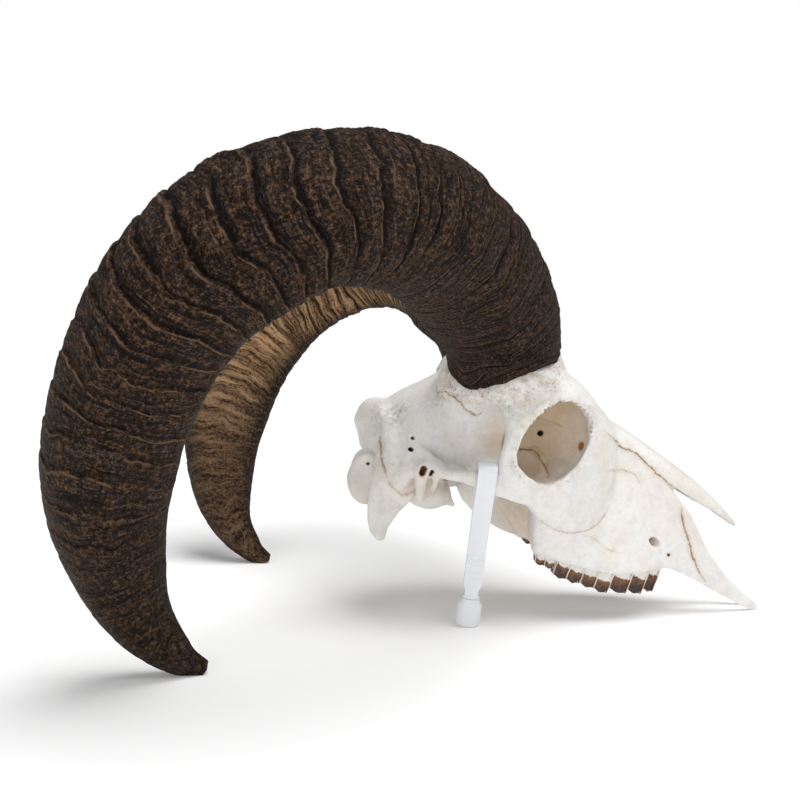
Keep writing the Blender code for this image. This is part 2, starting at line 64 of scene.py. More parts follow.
# Horn sheath axis on the animal's left, base to tip, in millimetres: x, y, z, half width, half thickness.
HORN = [
    (25, 33.5, 138.5, 32.5, 25.5),
    (20.5, 60, 160, 32.5, 26),
    (7.5, 96, 180, 32, 26),
    (-8.5, 134, 193, 31, 25.5),
    (-28.5, 171, 200, 30.2, 25),
    (-56.5, 197, 198.3, 29.8, 24.5),
    (-88.5, 202, 184.6, 30.8, 24),
    (-116.8, 192, 157.6, 29.8, 23.2),
    (-136.8, 177, 122.2, 28.4, 22.4),
    (-147.3, 160, 84, 26.4, 21.2),
    (-146, 144, 50, 20.5, 17.5),
    (-138.7, 134, 25.4, 13.8, 12),
    (-125, 128, 8.6, 8.2, 7.5),
    (-113.5, 125, 2, 4, 4),
]
HORN_BASE_NORMAL = (-0.23, 0.53, 0.82)
BASE_BLEND = 45.0
KEEL = 0.3
# How far the sheath's edge lies below its base plane, in degrees round the horn and millimetres.
RIM_DROP = (
    (0, 15, 30, 42, 50, 60, 75, 90, 105, 120, 135, 150, 165, 180, 270, 345, 360),
    (-1.5, 1.5, 5.5, 7.6, 7.4, 5.0, -1.5, -5, -4.5, -3, -0.5, 2.5, 3, 2.5, 1, -1, -1.5),
)
RIM_REACH = 30.0
# How far the inner rear of the base is tucked in, and how far along the horn that reaches.
BACK_TUCK = 6.8
TUCK_REACH = 75.0
# Angle of the upright crease at the base, its height and its width in degrees.
CREASE = (87.0, 1.5, 7.0)
HORN_RINGS = 820
HORN_SIDES = 116
HORN_SEEDS = {"left": 40, "right": 60}
# Distance between growth rings along the horn, base, middle and tip, and the height of a ring.
RING_STEPS = ((0.0, 0.3, 0.6, 0.85, 1.0), (7.0, 9.5, 12.5, 14.0, 16.0))
RING_HEIGHTS = (
    (0.0, 0.12, 0.35, 0.5, 0.6, 0.7, 0.85, 0.95, 1.0),
    (1.3, 1.7, 2.5, 2.5, 1.5, 0.8, 0.45, 0.25, 0.05),
)

# Cheek teeth of one side, back to front: name, rear x, front x, outer y, gum z, tip z.
TEETH = [
    ("molar_3", 103, 117.4, 38.4, 2, -6.5),
    ("molar_2", 117.8, 132.9, 38.2, 0, -9.3),
    ("molar_1", 133.3, 148.8, 36, 1, -9.2),
    ("premolar_4", 149.2, 158.8, 33.2, 3.5, -6.8),
    ("premolar_3", 159.2, 167, 30.8, 6, -4.5),
    ("premolar_2", 167.4, 173, 28.4, 9, -1.5),
]
TOOTH_DEPTH = {"molar": 14.0, "premolar": 11.0}
LOBE_LENGTH = 7.5
LAST_MOLAR_LEAN = 4.0
RIB_WIDTH = 0.62
WALL_STEPS = 49
CROWN_LEVELS = 15
ROOT_HEIGHT = 5.0
CUSP_HEIGHT = 0.9
# Rings of the chewing face, from its edge inwards: size and height above the cusps.
CHEWING_RINGS = ((0.94, 0.0), (0.86, 0.9), (0.66, 1.5), (0.5, 0.5), (0.36, 0.7), (0.2, 2.2))
PIT_HEIGHT = 3.6
# How much higher than usual the brown stain climbs on each tooth, in shares of its height.
STAIN_RISE = {
    "molar_3": -0.24, "molar_2": -0.02, "molar_1": -0.03,
    "premolar_4": 0.06, "premolar_3": 0.08, "premolar_2": 0.14,
}


# Numbers, curves and noise
def unit(vector):
    vector = np.asarray(vector, float)
    return vector / np.linalg.norm(vector, axis=-1, keepdims=True)


def ease(value):
    value = np.clip(value, 0.0, 1.0)
    return value * value * (3.0 - 2.0 * value)


def spline(points, steps):
    """Catmull-Rom curve through rows of numbers, with steps samples to each span."""
    rows = np.array(points, float)
    padded = np.vstack([2 * rows[0] - rows[1], rows, 2 * rows[-1] - rows[-2]])
    t = (np.arange(steps) / steps)[:, None]
    found = []
    for i in range(len(rows) - 1):
        a, b, c, d = padded[i : i + 4]
        cubic = 3 * b - a - 3 * c + d
        found.append(0.5 * (2 * b + (c - a) * t + (2 * a - 5 * b + 4 * c - d) * t**2 + cubic * t**3))
    return np.vstack(found + [rows[-1:]])

def evenly(curve, count, axes):
    """Distance along a curve at count even steps and its rows there; the first axes columns are its place."""
    steps = np.linalg.norm(np.diff(curve[:, :axes], axis=0), axis=1)
    run = np.concatenate([[0.0], np.cumsum(steps)])
    at = np.linspace(0.0, run[-1], count)
    return at, np.stack([np.interp(at, run, column) for column in curve.T], 1)


NOISE_CELLS = 64


def soft_noise(points, seed):
    """Smooth noise from -1 to 1 at points, an array of x, y, z rows, with about one bump to each unit."""
    table = np.random.default_rng(seed).uniform(-1.0, 1.0, (NOISE_CELLS,) * 3)
    cell = np.floor(points).astype(int)
    share = ease(points - cell)
    total = np.zeros(points.shape[:-1])
    for corner in itertools.product((0, 1), repeat=3):
        weight = np.prod(np.where(corner, share, 1.0 - share), axis=-1)
        i, j, k = np.moveaxis((cell + corner) % NOISE_CELLS, -1, 0)
        total += weight * table[i, j, k]
    return total


def from_skull(points):
    """Points of the skull's own frame in the resting frame, both in millimetres."""
    points = np.asarray(points, float)
    ahead, above = points[..., 0] - SKULL_LENGTH, points[..., 2] - NOSE_TIP_HEIGHT
    cosine, sine = math.cos(NOSE_PITCH), math.sin(NOSE_PITCH)
    x = NOSE_TIP[0] + ahead * cosine + above * sine
    z = NOSE_TIP[1] - ahead * sine + above * cosine
    return np.stack([x, points[..., 1], z], -1)


def to_skull(points):
    """Points of the resting frame in the skull's own frame, both in millimetres."""
    points = np.asarray(points, float)
    ahead, above = points[..., 0] - NOSE_TIP[0], points[..., 2] - NOSE_TIP[1]
    cosine, sine = math.cos(NOSE_PITCH), math.sin(NOSE_PITCH)
    x = SKULL_LENGTH + ahead * cosine - above * sine
    z = NOSE_TIP_HEIGHT + ahead * sine + above * cosine
    return np.stack([x, points[..., 1], z], -1)


def turn_to_skull(vector):
    """A direction of the resting frame in the skull's own frame."""
    return to_skull(vector) - to_skull((0.0, 0.0, 0.0))
def folded(points):
    """Points of both halves moved onto the left one."""
    return np.stack([points[:, 0], np.abs(points[:, 1]), points[:, 2]], 1)


# Meshes
def put(name, data):
    """An object of the scene that holds data."""
    thing = bpy.data.objects.new(name, data)
    bpy.context.scene.collection.objects.link(thing)
    return thing


def new_piece(name, points, *face_sets):
    """A smooth-shaded mesh object; points in millimetres of the resting frame."""
    mesh = bpy.data.meshes.new(name)
    corners = np.concatenate([np.asarray(faces, np.int32).ravel() for faces in face_sets])
    sizes = np.concatenate([np.full(len(faces), np.shape(faces)[1]) for faces in face_sets])
    starts = np.concatenate([[0], np.cumsum(sizes)[:-1]]).astype(np.int32)
    mesh.vertices.add(len(points))
    mesh.vertices.foreach_set("co", (np.asarray(points) * MM).astype(np.float32).ravel())
    mesh.loops.add(len(corners))
    mesh.loops.foreach_set("vertex_index", corners)
    mesh.polygons.add(len(sizes))
    mesh.polygons.foreach_set("loop_start", starts)
    mesh.update(calc_edges=True)
    mesh.validate()
    mesh.shade_smooth()
    return put(name, mesh)


def give_values(piece, name, values):
    """Stores a vector of three numbers at each point of the mesh."""
    layer = piece.data.attributes.new(name, "FLOAT_VECTOR", "POINT")
    layer.data.foreach_set("vector", np.asarray(values, np.float32).ravel())


def loft_faces(rings, sides, first=0):
    """Quads between rings of points that follow each other in one array."""
    ring, side = np.meshgrid(np.arange(rings - 1), np.arange(sides), indexing="ij")
    near, following = ring * sides, (side + 1) % sides
    quads = np.stack([near + side, near + following, near + sides + following, near + sides + side], -1)
    return quads.reshape(-1, 4) + first


def fan_faces(ring_start, sides, centre, backwards):
    """Triangles from a ring to one point in its middle."""
    side = np.arange(sides)
    following = (side + 1) % sides
    ends = (following, side) if backwards else (side, following)
    return np.stack([ring_start + ends[0], ring_start + ends[1], np.full(sides, centre)], -1)

def tube_faces(rings, sides, turned=False, first=0):
    """Walls of a stack of rings and a fan at each end; the two middle points follow the rings."""
    count = rings * sides
    walls = loft_faces(rings, sides, first)
    bottom = fan_faces(first, sides, first + count, True)
    top = fan_faces(first + count - sides, sides, first + count + 1, False)
    return [faces[:, ::-1] if turned else faces for faces in (walls, bottom, top)]


# The bone as a field of signed distances
def smooth_min(a, b, blend):
    gap = np.maximum(blend - np.abs(a - b), 0.0) / blend
    return np.minimum(a, b) - gap * gap * blend * 0.25


def smooth_max(a, b, blend):
    return -smooth_min(-a, -b, blend)


class Field:
    """Signed distances in millimetres on a grid over the left half of the skull."""

    def __init__(self):
        limits = zip(FIELD_LOW, FIELD_HIGH)
        self.axes = [np.arange(low, high, VOXEL, dtype=np.float32) for low, high in limits]
        self.values = np.full([len(axis) for axis in self.axes], FAR_AWAY, np.float32)

    def window(self, low, high, margin):
        cuts = []
        for axis, lowest, highest in zip(self.axes, low, high):
            first = int(np.searchsorted(axis, lowest - margin))
            last = int(np.searchsorted(axis, highest + margin))
            cuts.append(slice(first, max(last, first + 1)))
        x, y, z = (axis[cut] for axis, cut in zip(self.axes, cuts))
        return tuple(cuts), x[:, None, None], y[None, :, None], z[None, None, :]

    def add(self, shape, blend=3.0):
        low, high, distance = shape
        cuts, x, y, z = self.window(low, high, blend + 3.0)
        self.values[cuts] = smooth_min(self.values[cuts], distance(x, y, z), blend)

    def cut(self, shape, blend=1.0):
        low, high, distance = shape
        cuts, x, y, z = self.window(low, high, blend + 3.0)
        self.values[cuts] = smooth_max(self.values[cuts], -distance(x, y, z), blend)

    def whole(self):
        """The field of both halves, closed at its borders."""
        both = np.concatenate([self.values[:, :0:-1], self.values], axis=1)
        both = np.clip(both, -FAR_AWAY, FAR_AWAY)
        both[[0, -1]] = FAR_AWAY
        both[:, [0, -1]] = FAR_AWAY
        both[:, :, [0, -1]] = FAR_AWAY
        return np.ascontiguousarray(both, dtype=np.float32)


def ball(centre, radii, pitch=0.0, yaw=0.0, axes=None):
    """An ellipsoid; pitch turns its front end up and yaw outwards, or axes gives its three directions."""
    if axes is None:
        cp, sp = math.cos(math.radians(pitch)), math.sin(math.radians(pitch))
        cw, sw = math.cos(math.radians(yaw)), math.sin(math.radians(yaw))
        forward, left = np.array([cp * cw, cp * sw, sp]), np.array([-sw, cw, 0.0])
        axes = (forward, left, np.cross(forward, left))
    turn = np.array(axes, float)
    reach = np.sqrt(((turn * np.array(radii)[:, None]) ** 2).sum(0))

    def distance(x, y, z):
        dx, dy, dz = x - centre[0], y - centre[1], z - centre[2]
        size, grade = 0.0, 0.0
        for row, radius in zip(turn, radii):
            local = dx * row[0] + dy * row[1] + dz * row[2]
            size = size + (local / radius) ** 2
            grade = grade + (local / radius**2) ** 2
        size, grade = np.sqrt(size), np.sqrt(grade)
        return (size * (size - 1.0) / np.maximum(grade, 1e-6)).astype(np.float32)

    return np.subtract(centre, reach), np.add(centre, reach), distance


def limb(stations, flat=1.0, across=(0.0, 1.0, 0.0), knit=1.5):
    """A round tapered chain x, y, z, radius along a smooth curve; flat under 1 thins it along across."""
    rows = spline(stations, 3) if len(stations) > 2 else np.array(stations, float)
    low = (rows[:, :3] - rows[:, 3:]).min(0)
    high = (rows[:, :3] + rows[:, 3:]).max(0)
    thin = unit(across)

    def distance(x, y, z):
        best = None
        for (ax, ay, az, ar), (bx, by, bz, br) in zip(rows, rows[1:]):
            dx, dy, dz = bx - ax, by - ay, bz - az
            size = dx * dx + dy * dy + dz * dz
            t = np.clip(((x - ax) * dx + (y - ay) * dy + (z - az) * dz) / size, 0.0, 1.0)
            px, py, pz = x - ax - dx * t, y - ay - dy * t, z - az - dz * t
            if flat < 1.0:
                gain = (px * thin[0] + py * thin[1] + pz * thin[2]) * (1.0 / flat - 1.0)
                px, py, pz = px + gain * thin[0], py + gain * thin[1], pz + gain * thin[2]
            d = np.sqrt(px * px + py * py + pz * pz) - (ar + (br - ar) * t)
            if flat < 1.0:
                d = d * (0.5 + 0.5 * flat)
            best = d if best is None else smooth_min(best, d, knit * 0.3)
        return best.astype(np.float32)

    return low, high, distance


def eased_column(x, stations, column):
    """A station's column at x, eased between the stations."""
    xs = [row[0] for row in stations]
    fine = np.linspace(xs[0], xs[-1], 400)
    sharp = np.interp(fine, xs, [row[column] for row in stations])
    width = max(3, int(400 * 5.0 / (xs[-1] - xs[0])))
    kernel = np.hanning(width + 2)[1:-1]
    padded = np.pad(sharp, width, mode="reflect", reflect_type="odd")
    eased = np.convolve(padded, kernel / kernel.sum(), mode="same")[width:-width]
    return np.interp(x, fine, eased).astype(np.float32)


def loft(stations, corner=5.0):
    """A body along x with trapezoid sections: x, low z, high z, half width low, half width high."""
    xs = [row[0] for row in stations]
    low = [xs[0], 0.0, min(row[1] for row in stations)]
    high = [xs[-1], max(max(row[3:5]) for row in stations), max(row[2] for row in stations)]

    def distance(x, y, z):
        floor, roof, wide_low, wide_high = (eased_column(x, stations, c) for c in (1, 2, 3, 4))
        height = np.maximum(roof - floor, 1.0)
        share = np.clip((z - floor) / height, 0.0, 1.0)
        wide = wide_low + (wide_high - wide_low) * share
        lean = height / np.sqrt(height**2 + (wide_high - wide_low) ** 2)
        radius = np.minimum(corner, np.minimum(height / 2.2, np.minimum(wide_low, wide_high) / 1.2))
        side = (np.abs(y) - wide) * lean + radius + 0 * z
        level = np.abs(z - (roof + floor) / 2) - height / 2 + radius + 0 * y
        outside = np.sqrt(np.maximum(side, 0.0) ** 2 + np.maximum(level, 0.0) ** 2)
        d = np.minimum(np.maximum(side, level), 0.0) + outside - radius
        return np.maximum(d, np.maximum(xs[0] - x, x - xs[-1])).astype(np.float32)

    return low, high, distance


def arch(stations, thickness, power=2.4):
    """A thin arched roof along x: x, z of its edge, z of its top, half width."""
    xs = [row[0] for row in stations]
    low = [xs[0], 0.0, min(row[1] for row in stations) - 3.0]
    high = [xs[-1], max(row[3] for row in stations), max(row[2] for row in stations)]

    def distance(x, y, z):
        edge, top, wide = (eased_column(x, stations, c) for c in (1, 2, 3))
        rise = np.maximum(top - edge, 0.5)
        u, v = np.abs(y / wide), np.maximum((z - edge) / rise, 0.0)
        size = (u**power + v**power) ** (1.0 / power)
        grade = np.sqrt((u / wide) ** 2 + (v / rise) ** 2) / np.maximum(size, 0.05)
        shell = np.abs((size - 1.0) / np.maximum(grade, 0.02) + thickness / 2) - thickness / 2
        d = smooth_max(shell, edge - z, 0.8)
        return smooth_max(d, np.maximum(xs[0] - x, x - xs[-1]) + 0 * d, 0.8).astype(np.float32)

    return low, high, distance


def outline_distance(u, v, points):
    """Signed distance in a plane to a closed outline."""
    best = None
    inside = np.zeros(np.broadcast(u, v).shape, bool)
    for (ax, ay), (bx, by) in zip(points, points[1:] + points[:1]):
        dx, dy = bx - ax, by - ay
        t = np.clip(((u - ax) * dx + (v - ay) * dy) / (dx * dx + dy * dy), 0.0, 1.0)
        d = (u - ax - dx * t) ** 2 + (v - ay - dy * t) ** 2
        best = d if best is None else np.minimum(best, d)
        if ay != by:
            crosses = (ay > v) != (by > v)
            inside ^= crosses & (u < (bx - ax) * (v - ay) / (by - ay) + ax)
    return np.where(inside, -1.0, 1.0) * np.sqrt(best)


def plate(outline, place, thickness, edge=1.0):
    """A plate drawn in side view; place is its y at x = z = 0 and how y changes with x and with z."""
    xs, zs = [p[0] for p in outline], [p[1] for p in outline]
    corners = [place[0] + place[1] * x + place[2] * z for x in (min(xs), max(xs)) for z in (min(zs), max(zs))]
    low = [min(xs), min(corners) - thickness, min(zs)]
    high = [max(xs), max(corners) + thickness, max(zs)]
    slant = math.sqrt(1 + place[1] ** 2 + place[2] ** 2)

    def distance(x, y, z):
        flat = outline_distance(x, z, outline)
        across = np.abs(y - place[0] - place[1] * x - place[2] * z) / slant - thickness / 2
        return smooth_max(flat + 0 * across, across + 0 * flat, edge).astype(np.float32)

    return low, high, distance


def pierce(centre, direction, radius, depth):
    """A short round bore from centre along direction, for a foramen."""
    start = np.array(centre) - unit(direction) * depth
    end = np.array(centre) + unit(direction) * depth
    return limb([(*start, radius), (*end, radius)])


# Opening of the eye socket in side view, its centre, and its plane: y, and how y changes with x and z.
ORBIT_OUTLINE = [
    (74.5, 46), (75, 55), (77.5, 63.5), (82, 72), (88, 78.6), (95, 80.2), (101.5, 78.2),
    (106.3, 73), (108.3, 66), (107.8, 58), (105.6, 49.5), (101.5, 41.5), (96, 36.8),
    (89.5, 35.6), (82.5, 37.2), (77, 40.6),
]
ORBIT_CENTRE = (92, 58)
ORBIT_PLANE = (82.5, -0.30, 0.035)
RIM_THICKNESS = 7.5
RIM_TEETH = 0.55


def orbit_depth(x, y, z):
    """How far a point lies outside the plane of the eye socket's opening."""
    return y - ORBIT_PLANE[0] - ORBIT_PLANE[1] * x - ORBIT_PLANE[2] * z


def braincase(bone):
    bone.add(ball((41, 0, 42), (42, 34.5, 28.5), 28), 0.1)
    bone.add(ball((66, 0, 66), (36, 31, 31)), 14)
    bone.add(ball((36, 24, 34), (20, 13, 20), 20), 10)
    bone.add(ball((56, 26, 66), (28, 20, 23), 10), 10)
    bone.add(ball((88, 26, 62), (27, 25, 26)), 10)


def occiput(bone):
    bone.add(ball((3, 0, 37), (9, 12, 7.6)), 5)
    bone.add(ball((-2, 0, 34), (5, 8.5, 7)), 4)
    crest = [(1, 5, 40, 3.4), (5, 15, 40, 3.4), (10, 27, 33, 3.2), (17, 36, 22, 3.4), (20, 39, 9, 4)]
    bone.add(limb(crest), 5)
    bone.add(ball((26, 0, 12), (24, 26, 14)), 6)
    bone.add(ball((23, 28, 15), (13, 11.5, 19), 15), 7)
    bone.add(limb([(-3, 0, 30, 3.4), (2, 0, 23, 4.4), (6, 0, 17, 4)]), 5)
    bone.add(ball((11, 0, 27), (10, 24, 12)), 6)


def condyles(bone):
    bone.add(ball((9.5, 16.5, 3), (10.5, 9.5, 13.5), 16, -12), 2.5)
    bone.add(ball((13, 11, -4), (10.5, 8.5, 6.5)), 3)
    outline = [(12, 14), (13.6, 0), (15.4, -9), (17.6, -15.5), (21.2, -20.5), (25.8, -23.6), (28.8, -22.2),
               (28.6, -15), (31.5, -6), (35, 2), (36, 12)]
    bone.add(plate(outline, (33.5, 0, 0.12), 4.6, 3), 4)
    blade = [(15.5, 36.5, 8, 3.4), (17.8, 34.4, -6, 3), (21.5, 32.6, -16, 2.8), (25.8, 31.2, -21, 2.3)]
    bone.add(limb(blade), 3)


def skull_base(bone):
    bar = [(10, 0, 1, 9), (28, 0, 8, 8), (50, 0, 17, 7), (80, 0, 30, 8)]
    bone.add(limb(bar), 5)
    bone.add(limb([(26, 7, 1.5, 3), (32, 7, 4, 3)]), 3)
    bone.add(ball((42, 22.5, 8.5), (13, 8.5, 9.5), 8, -12), 3)
    bone.add(limb([(48, 21, 8, 4), (53, 20, 7.6, 2.4), (57.5, 19.5, 6, 1.4)]), 3)


def ear(bone):
    bone.add(limb([(39.5, 24, 14, 5.2), (36, 36, 18, 5), (34.8, 42.5, 20.3, 4.9)]), 2.5)
    rim = []
    for i in range(13):
        angle = math.tau * i / 12
        rim.append((34.9 + 2.4 * math.cos(angle), 45.4, 20.4 + 3.9 * math.sin(angle), 1.05))
    bone.add(limb(rim), 1.2)
    bone.add(limb([(35.6, 43.5, 15.5, 2.9), (37.6, 41, 9.5, 2.4), (39.2, 39, 4.6, 1.5)], 0.6), 1.5)
    bone.add(limb([(43.4, 44.5, 22.5, 2.6), (43.6, 44, 17.5, 2.1), (43.4, 42.5, 13, 1.3)]), 1.6)
    bone.add(limb([(26.5, 39.5, 24, 4), (27, 40, 17, 4.2), (28, 39, 11, 3)]), 3)
    bone.cut(limb([(40, 50, 19.5, 1.3), (41.2, 41, 15, 1.6)]), 1)


def cheek_arch(bone):
    bone.add(ball((50, 41, 24), (11, 13, 5), 4, 10), 5)
    bone.add(limb([(24, 36, 31, 2.2), (33, 40, 28.5, 2.4), (41, 45.5, 27, 2.6), (50, 52.5, 27, 2.8)]), 4)
    bar = [(42, 48, 25.5, 3.4), (52, 54.8, 27.4, 4.8), (62, 58.4, 28, 5), (72, 59.6, 28.4, 5.2),
           (82, 58.6, 29.4, 6.4)]
    bone.add(limb(bar, 0.6), 3)
    bone.add(limb([(80, 57.2, 31, 6.4), (92, 53, 29, 6.4), (104, 47, 26, 6.2), (116, 40, 23, 5.5),
                   (128, 34, 20, 4)], 0.75), 9)


# Sections of the face: x, low z, high z, half width low, half width high.
FACE = [
    (70, 22, 88, 22, 24),
    (84, 12, 90, 30, 25),
    (96, 3, 86, 39.5, 24),
    (106, 1, 81.5, 40.5, 21.5),
    (118, -0.6, 75, 40.8, 18.5),
    (132, -0.4, 70, 39.6, 16.5),
    (148, 1.6, 64.5, 37.2, 15.2),
    (160, 5.2, 58.5, 33.6, 14.6),
    (169, 10.2, 53.5, 30, 15),
    (176, 12.9, 48.5, 25.6, 16.5),
    (182, 13, 44, 21.9, 17.2),
    (190, 12, 36, 19.7, 16.8),
    (199, 10.6, 28, 17.8, 15.8),
    (211, 8.8, 20.5, 15.4, 13),
    (224, 6.4, 14.5, 12, 9.8),
    (236.3, 5.6, 9.6, 7.3, 6.2),
]


def face(bone):
    bone.add(loft(FACE, 4), 6)
    bone.add(ball((108, 33, 20), (18, 11.5, 20), 0, -10), 9)
    bone.add(ball((97, 42, 36), (17, 14, 19), 0, -12), 9)
    bone.add(ball((113, 31, 46), (19, 12.5, 24), 0, -14), 10)


def eye_rim(bone):
    """The bony ring of the eye socket with the bar behind it and the brow above it."""
    bone.add(ball((92, 40, 59), (25, 15.5, 27)), 6)
    rim = []
    for x, z in ORBIT_OUTLINE:
        away = unit((x - ORBIT_CENTRE[0], z - ORBIT_CENTRE[1]))
        grow = 4.6 + 2 * max(0, -away[1])
        rim.append((x + grow * away[0], z + grow * away[1]))
    place = (ORBIT_PLANE[0] - RIM_THICKNESS / 2 - 0.6, *ORBIT_PLANE[1:])
    bone.add(plate(rim, place, RIM_THICKNESS, 4.5), 8)
    bone.add(ball((112, 33, 60), (15, 12, 19), 0, -30), 8)
    bar = [(62, 42, 80, 8), (65.5, 51, 70, 7), (69.5, 57, 58, 6.4), (72, 59.5, 46, 6.4), (79, 59, 35, 7)]
    bone.add(limb(bar, 0.58), 6)
    brow = [(66, 44, 78, 8), (76, 44, 84, 8), (90, 41, 84, 7), (104, 34, 76, 6)]
    bone.add(limb(brow), 8)


def horn_bosses(bone):
    """The bone that carries each horn sheath, with a rough lip round the sheath's edge."""
    centre, normal, inward, sideways = base_frame()
    ringed = []
    for i in range(17):
        angle = math.tau * i / 16
        keel = 1 - KEEL * max(0, math.cos(angle))
        reach = 30.5 - BACK_TUCK * max(0, math.cos(angle))
        point = centre + inward * reach * math.cos(angle) + sideways * 24 * math.sin(angle) * keel
        drop = float(np.interp(math.degrees(angle), *RIM_DROP))
        front = max(0, -math.cos(angle))
        ringed.append((*(point - normal * (drop + 4.5 + 2.5 * front) + inward * 2.5 * front), 3.4))
    bone.add(ball(centre - normal * 9 - inward * 3, (27, 24, 14), axes=(inward, sideways, normal)), 12)
    bone.add(limb(ringed), 8)


def base_frame():
    """Centre, normal, inward and sideways directions of the left horn's base in the skull's frame."""
    normal = unit(HORN_BASE_NORMAL)
    inward = unit(np.cross(normal, (0, 1, 0)))
    sideways = np.cross(inward, normal)
    centre = to_skull(HORN[0][:3])
    return centre, turn_to_skull(normal), turn_to_skull(inward), turn_to_skull(sideways)


def eye_sockets(bone):
    opening = outline_prism(ORBIT_OUTLINE)
    bone.cut(opening, 1.2)
    bone.cut(ball((90.5, 40, 57), (19.5, 21, 23), 0, -14), 3)
    bone.cut(ball((84, 34, 50), (15, 13.5, 14), 0, -20), 3)
    bone.cut(ball((101, 29.5, 44), (6.8, 8, 6.8), 0, -20), 0.8)
    bone.cut(ball((86, 29, 41.5), (8.5, 7, 7), 0, -20), 2)
    ridge = [(88, 21, 48.5, 1.9), (93.5, 22.8, 46, 2), (95.5, 24.5, 41, 2), (98.5, 32, 36.5, 1.6)]
    bone.add(limb(ridge), 1.5)


def outline_prism(outline):
    """Everything outside a side view outline's plane, and 14 mm behind it, narrowing inwards."""
    xs, zs = [p[0] for p in outline], [p[1] for p in outline]

    def distance(x, y, z):
        depth = orbit_depth(x, y, z)
        flat = outline_distance(x - 0.30 * depth, z - 0.08 * depth, outline)
        upper = ease((z - 58) / 8)
        notches = np.sin(1.9 * (x - z)) + np.sin(2.9 * (x + 0.4 * z) + 1)
        flat = flat + RIM_TEETH * upper * notches
        return smooth_max(flat + 0 * y, -14 - depth, 3).astype(np.float32)

    return [min(xs) - 6, 34, min(zs) - 2], [max(xs) + 6, 74, max(zs) + 2], distance


# Side view outline of the gap behind the teeth.
BEHIND_TEETH = [
    (62, -20), (107, -20), (102.6, 0.4), (96.3, 18.6), (90, 22.4), (76, 22.4), (62, 15),
]


def temple_gaps(bone):
    bone.cut(plate(BEHIND_TEETH, (45, 0, 0), 48, 2), 2.5)
    bone.cut(ball((58, 46.8, 22), (14, 7.2, 20), 0, 12), 3)
    bone.cut(ball((66, 45.5, 44), (11, 9.4, 19), 20), 4)
    bone.cut(ball((48, 55, 46), (19, 14.5, 17), 25), 7)


def hollows(bone):
    bone.cut(limb([(-14, 0, 5, 9.5), (6, 0, 7, 9.5), (24, 0, 12, 8.5)]), 2)
    cavity = [
        (112, 22, 64, 16, 8), (130, 21, 62, 23, 10.5), (150, 20, 58, 23, 11.5),
        (165, 19.5, 55, 20.5, 11.2), (176, 19, 60, 17.5, 12.6), (188, 17, 60, 14.4, 12.6),
        (200, 15, 56, 12.6, 11.6), (212, 13.4, 45, 10, 9.2), (226, 11.2, 30, 6.6, 6),
        (246, 9, 24, 2.6, 2.6),
    ]
    bone.cut(loft(cavity, 5), 1.5)
    fissure = [(186, -4, 30, 3, 3), (196, -4, 30, 8, 8), (212, -4, 30, 7.6, 7.6),
               (224, -4, 30, 5, 5), (246, -4, 30, 1.3, 1.3)]
    bone.cut(loft(fissure, 1), 1.5)
    vault = [
        (70, -16, 18, 12, 9), (98, -16, 15, 20, 14), (110, -16, 13, 23.5, 18),
        (135, -16, 13, 22.5, 17), (155, -16, 14, 19.5, 14), (172, -16, 14.8, 16, 11),
        (190, -16, 12, 14, 10),
    ]
    bone.cut(loft(vault, 9), 2)


def pterygoids(bone):
    outline = [(56, 16), (62, 9.5), (70, 5.2), (79, 2.6), (86, 1.4), (92, 1.2), (95.2, 2.2), (97.6, 1.4),
               (99.5, 5.5), (104, 8), (104, 26), (62, 26)]
    bone.add(plate(outline, (12.4, 0.035, 0.06), 2.6, 1.5), 4)
    choana = [(58, 0, 6, 7.5), (76, 0, 14, 10), (96, 0, 22, 10.5), (118, 0, 28, 10)]
    bone.cut(limb(choana), 2)


def nasal_roof(bone):
    nasals = [
        (78, 66, 96, 28), (97, 66, 89.6, 24), (108, 66, 83.2, 19), (121, 64, 78.3, 16.2),
        (143, 61, 73, 15.2), (161, 56.5, 68, 14.8), (178, 52.6, 62.7, 13.6), (194, 49.6, 56.7, 10.6),
        (203, 47.2, 51.6, 7.2), (210, 45.2, 47.4, 3.4),
    ]
    bone.add(arch(nasals, 2.6), 2)


# Holes in the bone: x and z, radius, y, direction, and how much painted dark shade and how much amber they
# get. The last two mark crevices under the horn's edge, darkened with painted shade.
FORAMINA = [
    ((166, 24.6), 2.2, 26, (0.80, 0.60, 0.1), 0, 0.45),
    ((176, 20.5), 0.8, 19, (-0.2, 1, 0), 0.2, 0.8),
    ((34.9, 19.4), 1.6, 46, (0.1, 1, 0.1), 0, 1),
    ((34.9, 21.4), 1.6, 46, (0.1, 1, 0.1), 0.2, 0.8),
    ((88.8, 58), 1.4, 19, (0.2, 1, 0.1), 1, 0),
    ((105.6, 59.6), 2.1, 38, (0.6, -0.8, 0), 0, 1),
    ((102.4, 63.2), 0.8, 36, (0.6, -0.8, 0), 0.2, 0.7),
    ((24.2, 33), 0.9, 35, (0.2, 1, 0.3), 0.7, 0.3),
    ((25.2, 27.4), 1.1, 38, (0.2, 1, 0.3), 1, 0),
    ((41.8, 28.9), 1, 40, (0, 0.7, 0.7), 0.3, 0.7),
    ((49.2, 19.5), 1.7, 28.5, (0.1, 1, 0), 0.9, 0.1),
    ((51.5, 18.6), 1.4, 27, (0.1, 1, 0), 0.8, 0.2),
    ((39.5, 21.8), 0.9, 44, (0, 1, 0), 0.3, 0.7),
    ((39.2, 20), 0.8, 44, (0, 1, 0), 0.3, 0.7),
    ((7.2, 11.5), 0.8, 24, (-0.4, 1, 0), 0.6, 0.4),
    ((73.5, 88.5), 1.3, 38, (0.2, 0.6, 1), 0.3, 0.7),
    ((62.5, 81), 1.1, 44, (0, 0.8, 0.8), 0.5, 0.5),
    ((57.5, 77), 1.6, 46, (0, 0.8, 0.8), 0.6, 0.4),
]
FORAMEN_DEPTH = 5


def foramina(bone):
    for (x, z), radius, y, direction, _, _ in FORAMINA:
        bone.cut(pierce((x, y, z), direction, radius, FORAMEN_DEPTH), 0.6)


